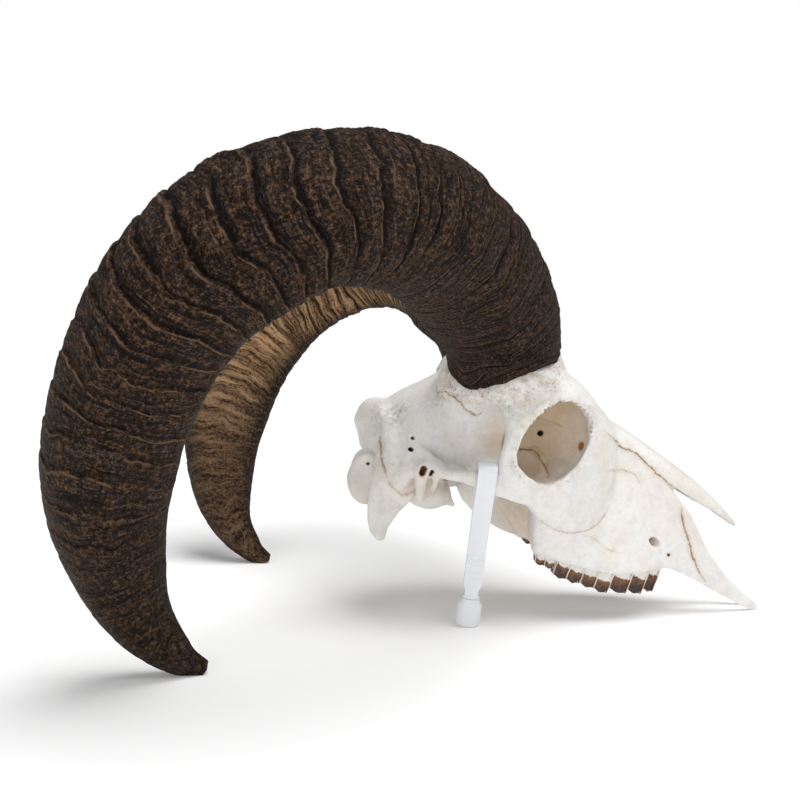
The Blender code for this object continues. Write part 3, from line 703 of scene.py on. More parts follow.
def skull_field():
    bone = Field()
    lumps = (braincase, occiput, condyles, skull_base, ear, cheek_arch, face, eye_rim, horn_bosses)
    for step in (*lumps, eye_sockets, temple_gaps, hollows, pterygoids, nasal_roof, foramina):
        step(bone)
    return bone


# Sutures and cracks in side view: strength, raggedness, and x, z in the skull's frame.
SEAMS = {
    "seam_nasal": (1, 0.8, [
        (113.4, 72.5), (127.5, 66.8), (140.6, 65.2), (150.4, 61.1), (160, 57.3), (168.6, 54.2),
    ]),
    "seam_premaxilla": (0.95, 0.4, [(173.7, 46.9), (176.8, 40), (184.5, 30), (191.1, 21), (202.9, 11.4)]),
    "seam_malar": (0.40, 0.5, [
        (97.5, 19), (101.9, 17), (110.4, 15.1), (118.5, 16.5), (128.8, 22), (133.3, 28.3), (134.5, 35.7),
    ]),
    "seam_cheek": (0.22, 0.5, [(121.3, 15.8), (131, 16.5), (139.7, 13.8), (146.3, 13.6), (150.9, 15.5)]),
    "seam_parietal": (0.75, 1.8, [
        (28, 59), (34.2, 61.7), (40.9, 60.4), (44.5, 57.3), (49.4, 56), (54.9, 58),
    ]),
    "seam_mastoid": (0.95, 0.5, [(8.5, 29), (9.6, 26), (11.7, 21.4), (14.5, 16.1), (18.6, 10.2)]),
    "seam_bulla": (0.45, 0.6, [(18.6, 10.2), (22.8, 6.8), (29.7, 4.2), (33.5, 7), (37, 9.5)]),
    "seam_lacrimal": (0.30, 1, [(119.7, 51), (130.9, 53.5), (140.7, 55), (146.7, 52.9), (149.4, 49.9)]),
    "seam_socket": (0.95, 0.3, [(77.5, 45.5), (82, 46.8), (89.2, 47.9), (95.2, 43.1), (99, 37.5)]),
}


def along_line(points, line):
    """Signed distance to a smooth side view line, and how far the point is from passing its ends, 0 to 1."""
    curve = spline(line, 8)
    best = np.full(len(points), 1e9)
    signed, inside = np.zeros((2, len(points)))
    count = len(curve) - 1
    for i, (start, end) in enumerate(zip(curve, curve[1:])):
        step = end - start
        size = (step**2).sum()
        free = ((points - start) @ step) / size
        share = np.clip(free, 0.0, 1.0)
        away = points - start - share[:, None] * step
        reach = (away**2).sum(1)
        closer = reach < best
        best = np.where(closer, reach, best)
        turn = np.sign(step[0] * away[:, 1] - step[1] * away[:, 0])
        signed = np.where(closer, turn * np.sqrt(reach), signed)
        place = (i + share) / count
        inside = np.where(closer, np.minimum(place, 1.0 - place) * 6.0, inside)
    return signed, np.clip(inside, 0.0, 1.0)


# Soft spots of colour on the bone: strength, centre and radii. The first list's warm spots sit in hollows and
# under parts: partly stain, partly painted cavity shade.
TAN_STAIN_AND_SHADE_SPOTS = [
    (0.75, (92, 14, 14), (26, 20, 20)), (0.55, (58, 34, 14), (20, 22, 14)),
    (0.75, (67, 38, 45), (10, 14, 20)), (0.8, (150, 6, 38), (60, 16, 24)),
    (0.60, (42, 38, 12), (14, 16, 12)), (0.55, (31, 39, 10), (5, 8, 10)),
    (0.38, (7, 16, 0), (18, 16, 20)), (0.8, (22, 10, -2), (16, 18, 8)),
    (0.35, (170, 20, 54), (8, 12, 6)), (0.30, (205, 6, 50), (14, 12, 8)),
]
POROUS_SPOTS = [(0.9, (4, 22, 38), (12, 26, 16)), (0.6, (18, 36, 18), (12, 12, 22))]
GREY_SPOTS = [
    (1.0, (12, 26, 44), (9, 14, 12)), (0.45, (30, 32, 56), (16, 12, 9)), (0.5, (52, 26, 16), (9, 12, 8)),
]
# The eye socket's hollow: centre and radii.
SOCKET_CENTRE = (91.5, 40.0, 54.0)
SOCKET_RADII = (19.5, 21.0, 23.0)


def strongest(points, spots, *more):
    """The strongest of several soft spots, which fall from 1 in the centre to 0 at about the radii."""
    found = list(more)
    for strength, centre, radii in spots:
        found.append(strength * np.exp(-2.0 * (((points - centre) / radii) ** 2).sum(1)))
    return np.maximum.reduce(found)


def skull_zones(points):
    """Where the bone is warm (stain and painted cavity shade), where it is porous and where it is stained
    grey, each from 0 to 1.
    """
    points = folded(points)
    x, y, z = points.T
    socket = outline_distance(x, z, ORBIT_OUTLINE)
    depth = orbit_depth(x, y, z)
    hollow = 1.75 - np.linalg.norm((points - SOCKET_CENTRE) / SOCKET_RADII, axis=1)
    # Warm colour inside the eye socket: partly stain, partly painted cavity shade.
    socket_stain_and_shade = ease(hollow / 0.25) * ease((-1.0 - depth) / 9.0) * ease((y - 8.0) / 6.0)
    socket_stain_and_shade = socket_stain_and_shade * ease((3.0 - socket) / 3.0)
    socket_stain_and_shade = socket_stain_and_shade * (0.85 - 0.3 * ease((x - 92.0) / 14.0)) * (1.0 - 0.2 * ease((54.0 - z) / 12.0))
    centre, normal, _, _ = base_frame()
    below_base = (points - centre) @ normal
    beside = np.linalg.norm(points - centre, axis=1)
    lip = ease((below_base + 15.0) / 10.0) * ease((46.0 - beside) / 12.0)
    rim = 0.6 * ease((3.5 - np.abs(socket - 2.0)) / 3.0) * ease((depth + 6.0) / 4.0)
    tan_and_shade = strongest(points, TAN_STAIN_AND_SHADE_SPOTS, socket_stain_and_shade)
    porous = strongest(points, POROUS_SPOTS, lip, rim)
    return np.stack([tan_and_shade, porous, strongest(points, GREY_SPOTS)], 1)


def hole_shares(points):
    """How far inside a foramen each point lies, split into painted hole shade and amber."""
    points = folded(points)
    shares = np.zeros((len(points), 3))
    for (x, z), radius, y, direction, hole_shade, amber in FORAMINA:
        away = points - (x, y, z)
        along = away @ unit(direction)
        beside = np.linalg.norm(away - along[:, None] * unit(direction), axis=1)
        share = ease((1.35 * radius - beside) / (0.45 * radius))
        share = share * (np.abs(along) < FORAMEN_DEPTH + radius + 0.5)
        shares = np.maximum(shares, share[:, None] * (hole_shade, amber, 0.0))
    return shares


def skull_mesh():
    """Points and triangles of the bone, in the skull's frame."""
    bone = skull_field()
    grid = openvdb.FloatGrid(FAR_AWAY)
    grid.copyFromArray(bone.whole())
    points, quads = grid.convertToQuads(isovalue=0.0)
    corner = np.array([bone.axes[0][0], -bone.axes[1][-1], bone.axes[2][0]])
    return np.array(points, float) * VOXEL + corner, np.array(quads)[:, ::-1]


def thinned(points, quads, triangles):
    """Points, triangles and normals of the same surface with fewer triangles."""
    dense = new_piece("dense_bone", points, quads)
    step = dense.modifiers.new("fewer", "DECIMATE")
    step.ratio = min(1.0, triangles / (2 * len(quads)))
    evaluated = dense.evaluated_get(bpy.context.evaluated_depsgraph_get())
    mesh = evaluated.to_mesh()
    mesh.calc_loop_triangles()
    kept = np.empty(len(mesh.vertices) * 3, np.float32)
    mesh.vertices.foreach_get("co", kept)
    faces = np.empty(len(mesh.loop_triangles) * 3, np.int32)
    mesh.loop_triangles.foreach_get("vertices", faces)
    normals = np.empty(len(mesh.vertices) * 3, np.float32)
    mesh.vertex_normals.foreach_get("vector", normals)
    evaluated.to_mesh_clear()
    bpy.data.objects.remove(dense)
    return kept.reshape(-1, 3) / MM, faces.reshape(-1, 3), normals.reshape(-1, 3)


def build_skull(look):
    points, faces, normals = thinned(*skull_mesh(), SKULL_TRIANGLES)
    zones = skull_zones(points)
    lift = 0.42 * soft_noise(points / 14.0, 11) + 0.16 * soft_noise(points / 5.0, 12)
    lift += zones[:, 1] * (0.5 * soft_noise(points / 3.2, 13) + 0.35 * soft_noise(points / 1.7, 14))
    side = points[:, [0, 2]]
    seams = {}
    outer = ease((np.abs(points[:, 1]) - 9.0) / 3.0)
    for name, (strength, ragged, line) in SEAMS.items():
        signed, inside = along_line(side, line)
        signed = signed + ragged * (0.7 * soft_noise(points / 1.8, 21) + 0.7 * soft_noise(points / 6.0, 22))
        share = strength * inside * outer
        seams[name] = np.stack([signed, share, np.zeros(len(points))], 1)
        lift -= 0.55 * share * np.exp(-((signed / 0.7) ** 2))
    points = points + normals * lift[:, None]
    row = from_skull(points)
    row[:, 2] = np.maximum(row[:, 2], 0.0)
    skull = new_piece("skull_bone", row, faces)
    give_values(skull, "zones", zones)
    give_values(skull, "holes", hole_shares(points))
    for name, values in seams.items():
        give_values(skull, name, values)
    skull.data.materials.append(look)
    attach(skull, "root")
    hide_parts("skull")


# Horn sheaths
def ring_profile(phase):
    """Height of a growth ring from 0 to 1: a sharp lip towards the base, then a round back to the tip."""
    place = phase % 1.0
    rise = ease(place / 0.09)
    back = np.sin(math.pi * (0.22 + 0.78 * place)) ** 0.8
    lip = np.exp(-(((place - 0.115) / 0.035) ** 2))
    return rise * (0.82 * back + 0.22 * lip)


def horn_axis():
    """Distance along the axis, centre, half sizes and the three directions of each ring."""
    at, rows = evenly(spline(HORN, 40), HORN_RINGS, 3)
    tangent = unit(np.gradient(rows[:, :3], axis=0))
    blend = np.minimum(1.0, at / BASE_BLEND)[:, None]
    normal = unit(unit(HORN_BASE_NORMAL) * (1.0 - blend) + tangent * blend)
    inward = unit(np.cross(normal, (0.0, 1.0, 0.0)))
    sideways = np.cross(inward, normal)
    return at, rows, normal, inward, sideways


def horn_phase(at):
    """Number of growth rings from the base to each place along the horn."""
    step = np.interp(at / at[-1], *RING_STEPS)
    return np.concatenate([[0.0], np.cumsum(np.diff(at) / step[:-1])])


def horn_relief(at, angle, drop, seed):
    """Each point's place among the growth rings, height of the ring there and lift by all wrinkles."""
    share = (at / at[-1])[:, None]
    across, round_axis = np.cos(angle) + 0 * share, np.sin(angle) + 0 * share
    phase = horn_phase(at)[:, None] + 0 * angle

    def around(size, run):
        return np.stack([across * size, round_axis * size, run], -1)

    wide, close, fine = around(1.1, phase * 0.35), around(4.0, phase * 0.9), around(11.0, phase * 1.5)
    near_base = np.exp(-at / 90.0)[:, None]
    warped = phase + 0.13 * drop * near_base * ease(at[:, None] / 12.0)
    warped = warped + 0.34 * soft_noise(wide, seed) + 0.13 * soft_noise(close, seed + 1)
    warped = warped + 0.06 * soft_noise(fine, seed + 2)
    ring_number = np.stack([np.floor(warped) * 3.7, 0.8 * across, 0.8 * round_axis], -1)
    unequal = 0.80 + 0.75 * soft_noise(ring_number, seed + 3)
    main_ring = ring_profile(warped)
    small_ring = ring_profile(warped * 3.0 + 0.35 * soft_noise(close, seed + 4))
    lines = ring_profile(warped * 8.0 + 0.5 * soft_noise(fine, seed + 5))
    height = np.interp(share, *RING_HEIGHTS)
    weaker = 1.0 - 0.45 * np.maximum(0.0, across)
    lift = height * weaker * (unequal * main_ring + 0.28 * small_ring + 0.07 * lines)
    lift = lift - 0.35 * height
    lift = lift + 0.9 * soft_noise(wide * 1.3, seed + 6) * (0.4 + share)
    lift = lift + 0.16 * soft_noise(around(9.0, phase * 4.0), seed + 8)
    lift = lift * ease((1.0 - share) / 0.04)
    crease_angle, crease_height, crease_width = CREASE
    crease = np.exp(-(((np.degrees(angle) - crease_angle) / crease_width) ** 2))
    lift = lift + crease_height * near_base * crease
    ragged = 0.5 * soft_noise(around(5.0, 0 * across), seed + 7)
    return warped, main_ring, lift, ragged


def build_horn(side, word, look):
    at, rows, normal, inward, sideways = horn_axis()
    share = (at / at[-1])[:, None]
    angle = (math.tau * np.arange(HORN_SIDES) / HORN_SIDES)[None, :]
    across, round_axis = np.cos(angle) + 0 * share, np.sin(angle) + 0 * share
    keel = 1.0 - KEEL * np.maximum(0.0, across)
    drop = np.interp(np.degrees(angle) + 0 * share, *RIM_DROP)
    warped, main_ring, lift, ragged = horn_relief(at, angle, drop, HORN_SEEDS[word])
    edge = ease(1.0 - at[:, None] / RIM_REACH)
    tuck = BACK_TUCK * np.maximum(0.0, across) * ease(1.0 - at[:, None] / TUCK_REACH)
    half_width = rows[:, 3:4] + lift - tuck
    half_thickness = rows[:, 4:5] + lift
    reach = inward[:, None] * (half_width * across)[..., None]
    reach = reach + sideways[:, None] * (half_thickness * round_axis * keel)[..., None]
    points = rows[:, None, :3] + reach - normal[:, None] * ((drop + ragged) * edge)[..., None]
    ends = [rows[0, :3] - 3.0 * normal[0], rows[-1, :3] + 1.5 * normal[-1]]
    points = np.vstack([points.reshape(-1, 3), ends])
    points[:, 2] = np.maximum(points[:, 2], 0.0)
    points[:, 1] *= side
    horn = new_piece(f"horn_sheath_{word}", points, *tube_faces(HORN_RINGS, HORN_SIDES, side < 0))
    relief = (main_ring, share + 0 * angle, 0 * across)
    for name, columns in (("flow", (across, round_axis, warped)), ("relief", relief)):
        values = np.stack(columns, -1).reshape(-1, 3)
        give_values(horn, name, np.vstack([values, values[0], values[-1]]))
    horn.data.materials.append(look)
    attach(horn, "root")
    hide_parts(f"horn_{word}")


# Teeth
def tooth_outline(rear, front, outer, depth):
    """A crown's outline from below, and how much each of its points belongs to a rib and to a cusp."""
    lobes = max(1, round((front - rear) / LOBE_LENGTH))
    along = np.linspace(0.0, 1.0, WALL_STEPS)
    span = front - rear
    rib_places = np.arange(lobes + 1) / lobes
    ribs = np.exp(-((((along[:, None] - rib_places[None]) * span) / RIB_WIDTH) ** 2)).sum(1)
    lobe_wave = 0.5 - 0.5 * np.cos(math.tau * lobes * along)
    outer_wall = outer - 1.5 + 1.35 * ribs + 0.5 * lobe_wave**4
    inner_wall = outer - depth + 1.6 - 2.0 * np.abs(np.sin(math.pi * lobes * along)) ** 0.6
    forward = rear + span * along
    outline = np.append(np.stack([forward, outer_wall], 1), np.stack([forward, inner_wall], 1)[::-1], 0)
    return outline, np.append(ribs, 0.0 * ribs), np.append(lobe_wave, lobe_wave[::-1] * 0.8)


def build_tooth(tooth, side, word, look):
    """A worn crown with sharp upright ribs on its outer wall, rounded lobes inside and cusps below."""
    name, rear, front, outer, gum, tip = tooth
    depth = TOOTH_DEPTH[name.split("_")[0]]
    outline, rib, cusp = tooth_outline(rear, front, outer, depth)
    middle = np.array([(rear + front) / 2, outer - depth / 2])
    root = gum + ROOT_HEIGHT
    lean = LAST_MOLAR_LEAN if name == "molar_3" else 0.0
    rings, values = [], []

    def add_ring(level, size, z, *wear):
        loop = middle + (outline - middle) * size
        loop[:, 0] += lean * level * (front - loop[:, 0]) / (front - rear)
        rings.append(np.column_stack([loop, z]))
        values.append(np.column_stack([column + 0.0 * rib for column in wear]))

    for level in np.linspace(0.0, 1.0, CROWN_LEVELS):
        grow = 0.955 + 0.045 * math.sin(math.pi * min(1.0, level * 1.1)) if level < 1.0 else 0.95
        size = (1.0 - 0.02 * level, grow * (1.0 - 0.05 * level))
        z = root + (tip + CUSP_HEIGHT - CUSP_HEIGHT * cusp - root) * level
        add_ring(level, size, z, level + STAIN_RISE[name], rib, 0.0)
    for shrink, rise in CHEWING_RINGS:
        z = tip + CUSP_HEIGHT - CUSP_HEIGHT * cusp * shrink + rise
        add_ring(1.0, (shrink, shrink * 0.93), z, 1.0, 0.0, 1.0 - 0.4 * rise)
    points = np.vstack([*rings, [[*middle, root]], [[*middle, tip + PIT_HEIGHT]]])
    points = points + np.column_stack([
        0.12 * soft_noise(points / 1.5, 71),
        0.18 * soft_noise(points / 1.5, 72),
        0.25 * soft_noise(points / 1.9, 73),
    ])
    points[:, 1] *= side
    faces = tube_faces(len(rings), len(outline), side < 0)
    crown = new_piece(f"{name}_{word}_crown", from_skull(points), *faces)
    give_values(crown, "wear", np.vstack([*values, [[0.0, 0.0, 0.0]], [[1.0, 0.0, 1.0]]]))
    crown.data.materials.append(look)
    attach(crown, "root")
    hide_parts(f"{name}_{word}")


# Materials
class Wire:
    """An output of a material's node; arithmetic with wires adds nodes."""

    def __init__(self, look, socket):
        self.look = look
        self.socket = socket

    def __add__(self, other):
        return self.look.math("ADD", self, other)

    def __sub__(self, other):
        return self.look.math("SUBTRACT", self, other)

    def __rsub__(self, other):
        return self.look.math("SUBTRACT", other, self)

    def __mul__(self, other):
        return self.look.math("MULTIPLY", self, other)

    def span(self, low, high, start=0.0, end=1.0):
        """The value carried smoothly from low and high to start and end."""
        inputs = {"Value": self, "From Min": low, "From Max": high, "To Min": start, "To Max": end}
        return self.look.add("ShaderNodeMapRange", "Result", inputs, interpolation_type="SMOOTHSTEP")


class Look:
    """A node material under construction; its methods add nodes and return their wires."""

    def __init__(self, name):
        self.material = bpy.data.materials.new(name)
        self.material.use_nodes = True
        self.tree = self.material.node_tree
        self.surface = self.tree.nodes["Principled BSDF"]

    def feed(self, socket, value):
        if isinstance(value, Wire):
            self.tree.links.new(value.socket, socket)
        else:
            socket.default_value = value

    def add(self, kind, output, inputs, **settings):
        node = self.tree.nodes.new(kind)
        for key, value in settings.items():
            setattr(node, key, value)
        for key, value in inputs.items():
            self.feed(node.inputs[key], value)
        return Wire(self, node.outputs[output])

    def place(self):
        """The point in the resting frame, in millimetres."""
        return self.stretch(self.add("ShaderNodeTexCoord", "Object", {}), (1.0 / MM,) * 3)

    def values(self, name):
        """The three numbers stored at each point of the mesh under a name."""
        found = self.add("ShaderNodeAttribute", "Vector", {}, attribute_name=name)
        parts = self.add("ShaderNodeSeparateXYZ", "X", {"Vector": found}).socket.node.outputs
        return [Wire(self, part) for part in parts]

    def stretch(self, vector, scale):
        return self.add("ShaderNodeMapping", "Vector", {"Vector": vector, "Scale": scale})

    def noise(self, vector, scale=1.0, detail=3.0, roughness=0.55):
        inputs = {"Vector": vector, "Scale": scale, "Detail": detail, "Roughness": roughness}
        return self.add("ShaderNodeTexNoise", "Fac", inputs)

    def math(self, operation, a, b=0.0):
        return self.add("ShaderNodeMath", 0, {0: a, 1: b}, operation=operation)

    def mix(self, share, first, second):
        first, second = ((*c, 1.0) if isinstance(c, tuple) else c for c in (first, second))
        return self.add("ShaderNodeMix", 2, {0: share, 6: first, 7: second}, data_type="RGBA")

    def layers(self, colour, *coats):
        """A colour with coats over it, each a share and the coat's colour."""
        for share, coat in coats:
            colour = self.mix(share, colour, coat)
        return colour

    def bump(self, height, distance):
        inputs = {"Height": height, "Distance": distance * MM, "Strength": 1.0}
        return self.add("ShaderNodeBump", "Normal", inputs)

    def finish(self, colour, roughness, normal, **constants):
        for name, value in (("Base Color", colour), ("Roughness", roughness), ("Normal", normal)):
            self.feed(self.surface.inputs[name], value)
        for name, value in constants.items():
            self.surface.inputs[name.replace("_", " ")].default_value = value
        return self.material


BONE_WHITE = (0.83, 0.82, 0.80)
BONE_CREAM = (0.79, 0.745, 0.66)
BONE_TAN = (0.56, 0.40, 0.235)
# Warm colour of stain and painted cavity shade in hollows.
BONE_WARM_STAIN_AND_SHADE = (0.66, 0.48, 0.30)
BONE_GREY = (0.33, 0.31, 0.31)
BONE_DULL = (0.60, 0.58, 0.55)
SEAM_GOLD = (0.45, 0.265, 0.09)
PORE_BROWN = (0.30, 0.19, 0.10)
# Painted shade inside holes and crevices.
HOLE_SHADE_BLACK = (0.016, 0.009, 0.005)
HOLE_AMBER = (0.34, 0.14, 0.02)
def bone_look():
    look = Look("bone")
    place = look.place()
    tan_and_shade, porous, grey = look.values("zones")
    painted_hole_shade, amber_hole, _ = look.values("holes")
    broad = look.noise(place, 0.045, 4.0, 0.6)
    fine = look.noise(place, 0.55, 5.0, 0.65)
    blotch = look.noise(place, 0.16, 4.0, 0.6)
    pits = look.noise(place, 0.9, 4.0, 0.7)
    cream = look.noise(place, 0.30, 5.0, 0.7).span(0.42, 0.62, 0.0, 0.45)
    smudge = look.noise(place, 0.35, 5.0, 0.7).span(0.42, 0.62)
    pore_share = pits.span(0.56, 0.72) * (porous * 0.75) * blotch.span(0.40, 0.60)
    colour = look.layers(
        look.mix(broad.span(0.45, 0.75), BONE_WHITE, BONE_CREAM),
        (blotch.span(0.44, 0.68, 0.0, 0.30), BONE_DULL),
        (porous * cream, BONE_TAN),
        # Stain and painted cavity shade in hollows and under parts.
        (tan_and_shade * blotch.span(0.2, 0.6, 0.65, 1.0), BONE_WARM_STAIN_AND_SHADE),
        (grey * smudge * 0.7, BONE_GREY),
        (fine.span(0.44, 0.75, 0.0, 0.16), BONE_TAN),
        (pore_share, PORE_BROWN),
    )
    waver = look.noise(place, 0.9).span(0.2, 0.8, -0.5, 0.5)
    broken = blotch.span(0.3, 0.6, 0.55, 1.0)
    groove = 0.0
    for name in SEAMS:
        offset, strength, _ = look.values(name)
        away = look.math("ABSOLUTE", offset + waver)
        line = away.span(0.50, 0.12) * strength
        halo = away.span(2.6, 0.3, 0.0, 0.32) * strength
        colour = look.layers(colour, (halo, BONE_TAN), (line * broken, SEAM_GOLD))
        groove = look.math("MAXIMUM", groove, line)
    # Amber walls of the holes, then painted shade inside them.
    colour = look.layers(colour, (amber_hole, HOLE_AMBER), (painted_hole_shade, HOLE_SHADE_BLACK))
    normal = look.bump(fine * 0.6 - groove * 0.9 - pore_share * 1.3, 0.6)
    return look.finish(colour, fine.span(0.3, 0.7, 0.42, 0.62), normal, Specular_IOR_Level=0.35)


HORN_DARK = (0.0075, 0.0045, 0.0032)
HORN_BROWN = (0.046, 0.0235, 0.0125)
# Bluish grey for patches that stand in for sheen: painted sheen.
HORN_SHEEN_GREY = (0.034, 0.029, 0.031)
HORN_TAN = (0.185, 0.108, 0.062)
HORN_GOLD = (0.40, 0.225, 0.105)
HORN_PALE = (0.72, 0.47, 0.25)
# Near-black for random dark streaks and for painted shade in the ring grooves.
SHADE_AND_STREAK_BLACK = (0.002, 0.0015, 0.0012)
def ring_lines(look, phase, per_ring, start, end, fade):
    """Thin lines along the growth rings, per_ring to each, between two shares of their spacing."""
    part = look.math("FRACT", phase * per_ring)
    return part.span(start - fade, start) * part.span(end + fade, end)


def horn_look():
    look = Look("horn")
    across, round_axis, phase = look.values("flow")
    crest, share, _ = look.values("relief")
    rings = look.add("ShaderNodeCombineXYZ", "Vector", {"X": across * 2.0, "Y": round_axis * 2.0, "Z": phase})
    place = look.place()
    blotch = look.noise(place, 0.10, 4.0, 0.6)
    grain = look.noise(place, 0.55, 3.0, 0.7)
    fleck = look.noise(place, 1.4, 2.0, 0.6)
    streak = look.noise(look.stretch(rings, (0.7, 0.7, 6.0)), 1.0, 5.0, 0.65)
    hair = look.noise(look.stretch(rings, (1.6, 1.6, 17.0)), 1.0, 4.0, 0.65)
    fibre = look.noise(look.stretch(rings, (17.0, 17.0, 3.0)), 1.0, 3.0, 0.6)
    band = look.noise(look.stretch(rings, (0.4, 0.4, 3.6)), 1.0, 4.0, 0.65)
    broken = look.noise(rings, 1.5, 4.0, 0.7)
    rubbed = look.noise(place, 0.35, 5.0, 0.75).span(0.54, 0.68)
    mottled = grain * 0.44 + hair * 0.12 + fleck * 0.16 + fibre * 0.14 + streak * 0.14
    # Random grey patches over the horn's colour: painted sheen.
    brown_and_sheen = look.mix(blotch.span(0.50, 0.66, 0.0, 0.75), HORN_BROWN, HORN_SHEEN_GREY)
    inner = round_axis + share.span(0.40, 0.66, 0.0, 0.35)
    medial = inner.span(-0.05, -0.65) * share.span(0.04, 0.35) * share.span(0.62, 0.86, 1.0, 0.22)
    gold = look.layers(
        look.mix(mottled.span(0.43, 0.52), HORN_BROWN, HORN_GOLD),
        (band.span(0.48, 0.60, 0.0, 0.8), HORN_PALE),
        (band.span(0.47, 0.38, 0.0, 0.75), HORN_BROWN),
    )
    wavering = phase + (hair - 0.5) * 0.12
    # Painted shade in the low grooves between growth rings.
    deep = crest.span(0.50, 0.12) * broken.span(0.36, 0.50, 0.35, 0.95) * share.span(0.50, 0.72, 1.0, 0.35)
    crest_line = ring_lines(look, wavering, 1.0, 0.10, 0.13, 0.035)
    crest_line = crest_line * broken.span(0.42, 0.58) * share.span(0.70, 0.85, 0.95, 0.20)
    fine_line = ring_lines(look, wavering, 3.0, 0.10, 0.14, 0.08)
    fine_line = fine_line * broken.span(0.54, 0.42) * streak.span(0.42, 0.58)
    colour = look.layers(
        look.mix(mottled.span(0.455, 0.525), HORN_DARK, brown_and_sheen),
        (mottled.span(0.50, 0.62, 0.0, 0.95), HORN_TAN),
        (medial * 0.95, gold),
        (streak.span(0.45, 0.35, 0.0, 0.85), SHADE_AND_STREAK_BLACK),
        # Painted shade in the ring grooves.
        (deep, SHADE_AND_STREAK_BLACK),
        (crest_line, HORN_TAN),
        (fine_line * 0.55, HORN_TAN),
        (rubbed * share.span(0.6, 0.95, 0.08, 0.5), HORN_TAN),
    )
    height = fibre * 0.5 + hair * 0.8 + streak * 0.8 + crest_line * 0.35 + grain * 1.6 + fleck * 0.6
    normal = look.bump(height, 1.6)
    return look.finish(colour, grain.span(0.35, 0.65, 0.45, 0.75), normal, Specular_IOR_Level=0.12)


ENAMEL_WHITE = (0.80, 0.77, 0.71)
STAIN_GOLD = (0.22, 0.095, 0.030)
STAIN_DARK = (0.040, 0.013, 0.005)


def tooth_look():
    look = Look("tooth")
    place = look.place()
    level, rib, chewing = look.values("wear")
    broad = look.noise(look.stretch(place, (0.22, 0.22, 0.12)), 1.0, 3.0, 0.6)
    speck = look.noise(place, 0.8, 4.0, 0.75)
    height = level + (broad * 0.22 + speck * 0.12)
    stained = height.span(0.68, 0.74) * height.span(1.34, 1.24, 0.3, 1.0)
    clean_rib = rib.span(0.62, 0.92) * 0.92
    beside_rib = rib.span(0.02, 0.12) * rib.span(0.60, 0.30) * broad.span(0.45, 0.6, 0.0, 0.8)
    stained = look.math("MAXIMUM", stained, beside_rib) * (1.0 - clean_rib)
    dark = speck * 1.6 + broad * 0.6 + level
    colour = look.layers(
        look.mix(broad.span(0.4, 0.8, 0.0, 0.35), ENAMEL_WHITE, BONE_CREAM),
        (stained, look.mix(dark.span(1.62, 1.98), STAIN_GOLD, STAIN_DARK)),
        (chewing * 0.6, BONE_CREAM),
    )
    normal = look.bump(speck + broad, 0.35)
    return look.finish(colour, speck.span(0.3, 0.7, 0.22, 0.42), normal, Specular_IOR_Level=0.5)


PLASTIC_SHADES = ((0.78, 0.80, 0.835), (0.83, 0.85, 0.875))
FLOOR_SHADES = ((0.94, 0.94, 0.94), (0.96, 0.96, 0.96))
FLOOR_GLOW = 0.13


def plastic_look():
    look = Look("tag_plastic")
    place = look.place()
    fine = look.noise(place, 1.6, 3.0, 0.6)
    colour = look.mix(look.noise(place, 0.12, 3.0, 0.5), *PLASTIC_SHADES)
    roughness = fine.span(0.3, 0.7, 0.26, 0.38)
    return look.finish(colour, roughness, look.bump(fine, 0.06), Specular_IOR_Level=0.5, Coat_Weight=0.15)


def floor_look():
    look = Look("floor_white")
    grain = look.noise(look.place(), 0.004)
    colour = look.mix(grain, *FLOOR_SHADES)
    look.feed(look.surface.inputs["Emission Color"], colour)
    normal = look.bump(grain, 0.01)
    return look.finish(colour, 0.6, normal, Specular_IOR_Level=0.0, Emission_Strength=FLOOR_GLOW)


# Tag
STRAP_WIDTH = 9.6
STRAP_THICKNESS = 1.3
STRAP_CORNER = 0.35
STRAP_RINGS = 420
GROOVE_DEPTH = 0.42
# Corners of the strap's section: side, face and the angle at which each starts to turn.
STRAP_SECTION = ((1, -1, -90), (1, 1, 0), (-1, 1, 90), (-1, -1, 180))
LOCK_PLACE = (9.5, -41.6, 1.1)
TAG_LEAN = (6.0, 12.45)
STRAP_PATH = [
    (1.0, 10.0), (1.6, 56.0), (4.9, 74.0), (5.2, 83.5), (3.2, 88.0), (-3.2, 88.0), (-5.2, 83.5), (-4.9, 74.0),
    (-1.6, 56.0), (-1.0, 10.0),
]
# Height and radius of the lock and of the collar above it.
LOCK_PROFILE = [
    (0.0, 4.9), (0.15, 5.6), (0.7, 6.1), (1.6, 6.45), (3.0, 6.5), (11.2, 6.3), (12.4, 5.9), (13.4, 5.0),
    (13.6, 4.7), (14.6, 4.7), (15.0, 4.2),
]
COLLAR_PROFILE = [(15.2, 3.9), (15.35, 4.5), (16.1, 4.6), (16.5, 4.2), (16.6, 3.2)]
LOCK_SIDES = 48


def tag_to_row(points):
    """Points of the tag's own upright frame in the resting frame."""
    lean_x, lean_y = (math.radians(angle) for angle in TAG_LEAN)
    x, y, z = points.T
    y, z = y * math.cos(lean_y) - z * math.sin(lean_y), y * math.sin(lean_y) + z * math.cos(lean_y)
    x, z = x * math.cos(lean_x) + z * math.sin(lean_x), z * math.cos(lean_x) - x * math.sin(lean_x)
    row = np.column_stack([x, y, z]) + LOCK_PLACE
    row[:, 2] = np.maximum(row[:, 2], 0.0)
    return row


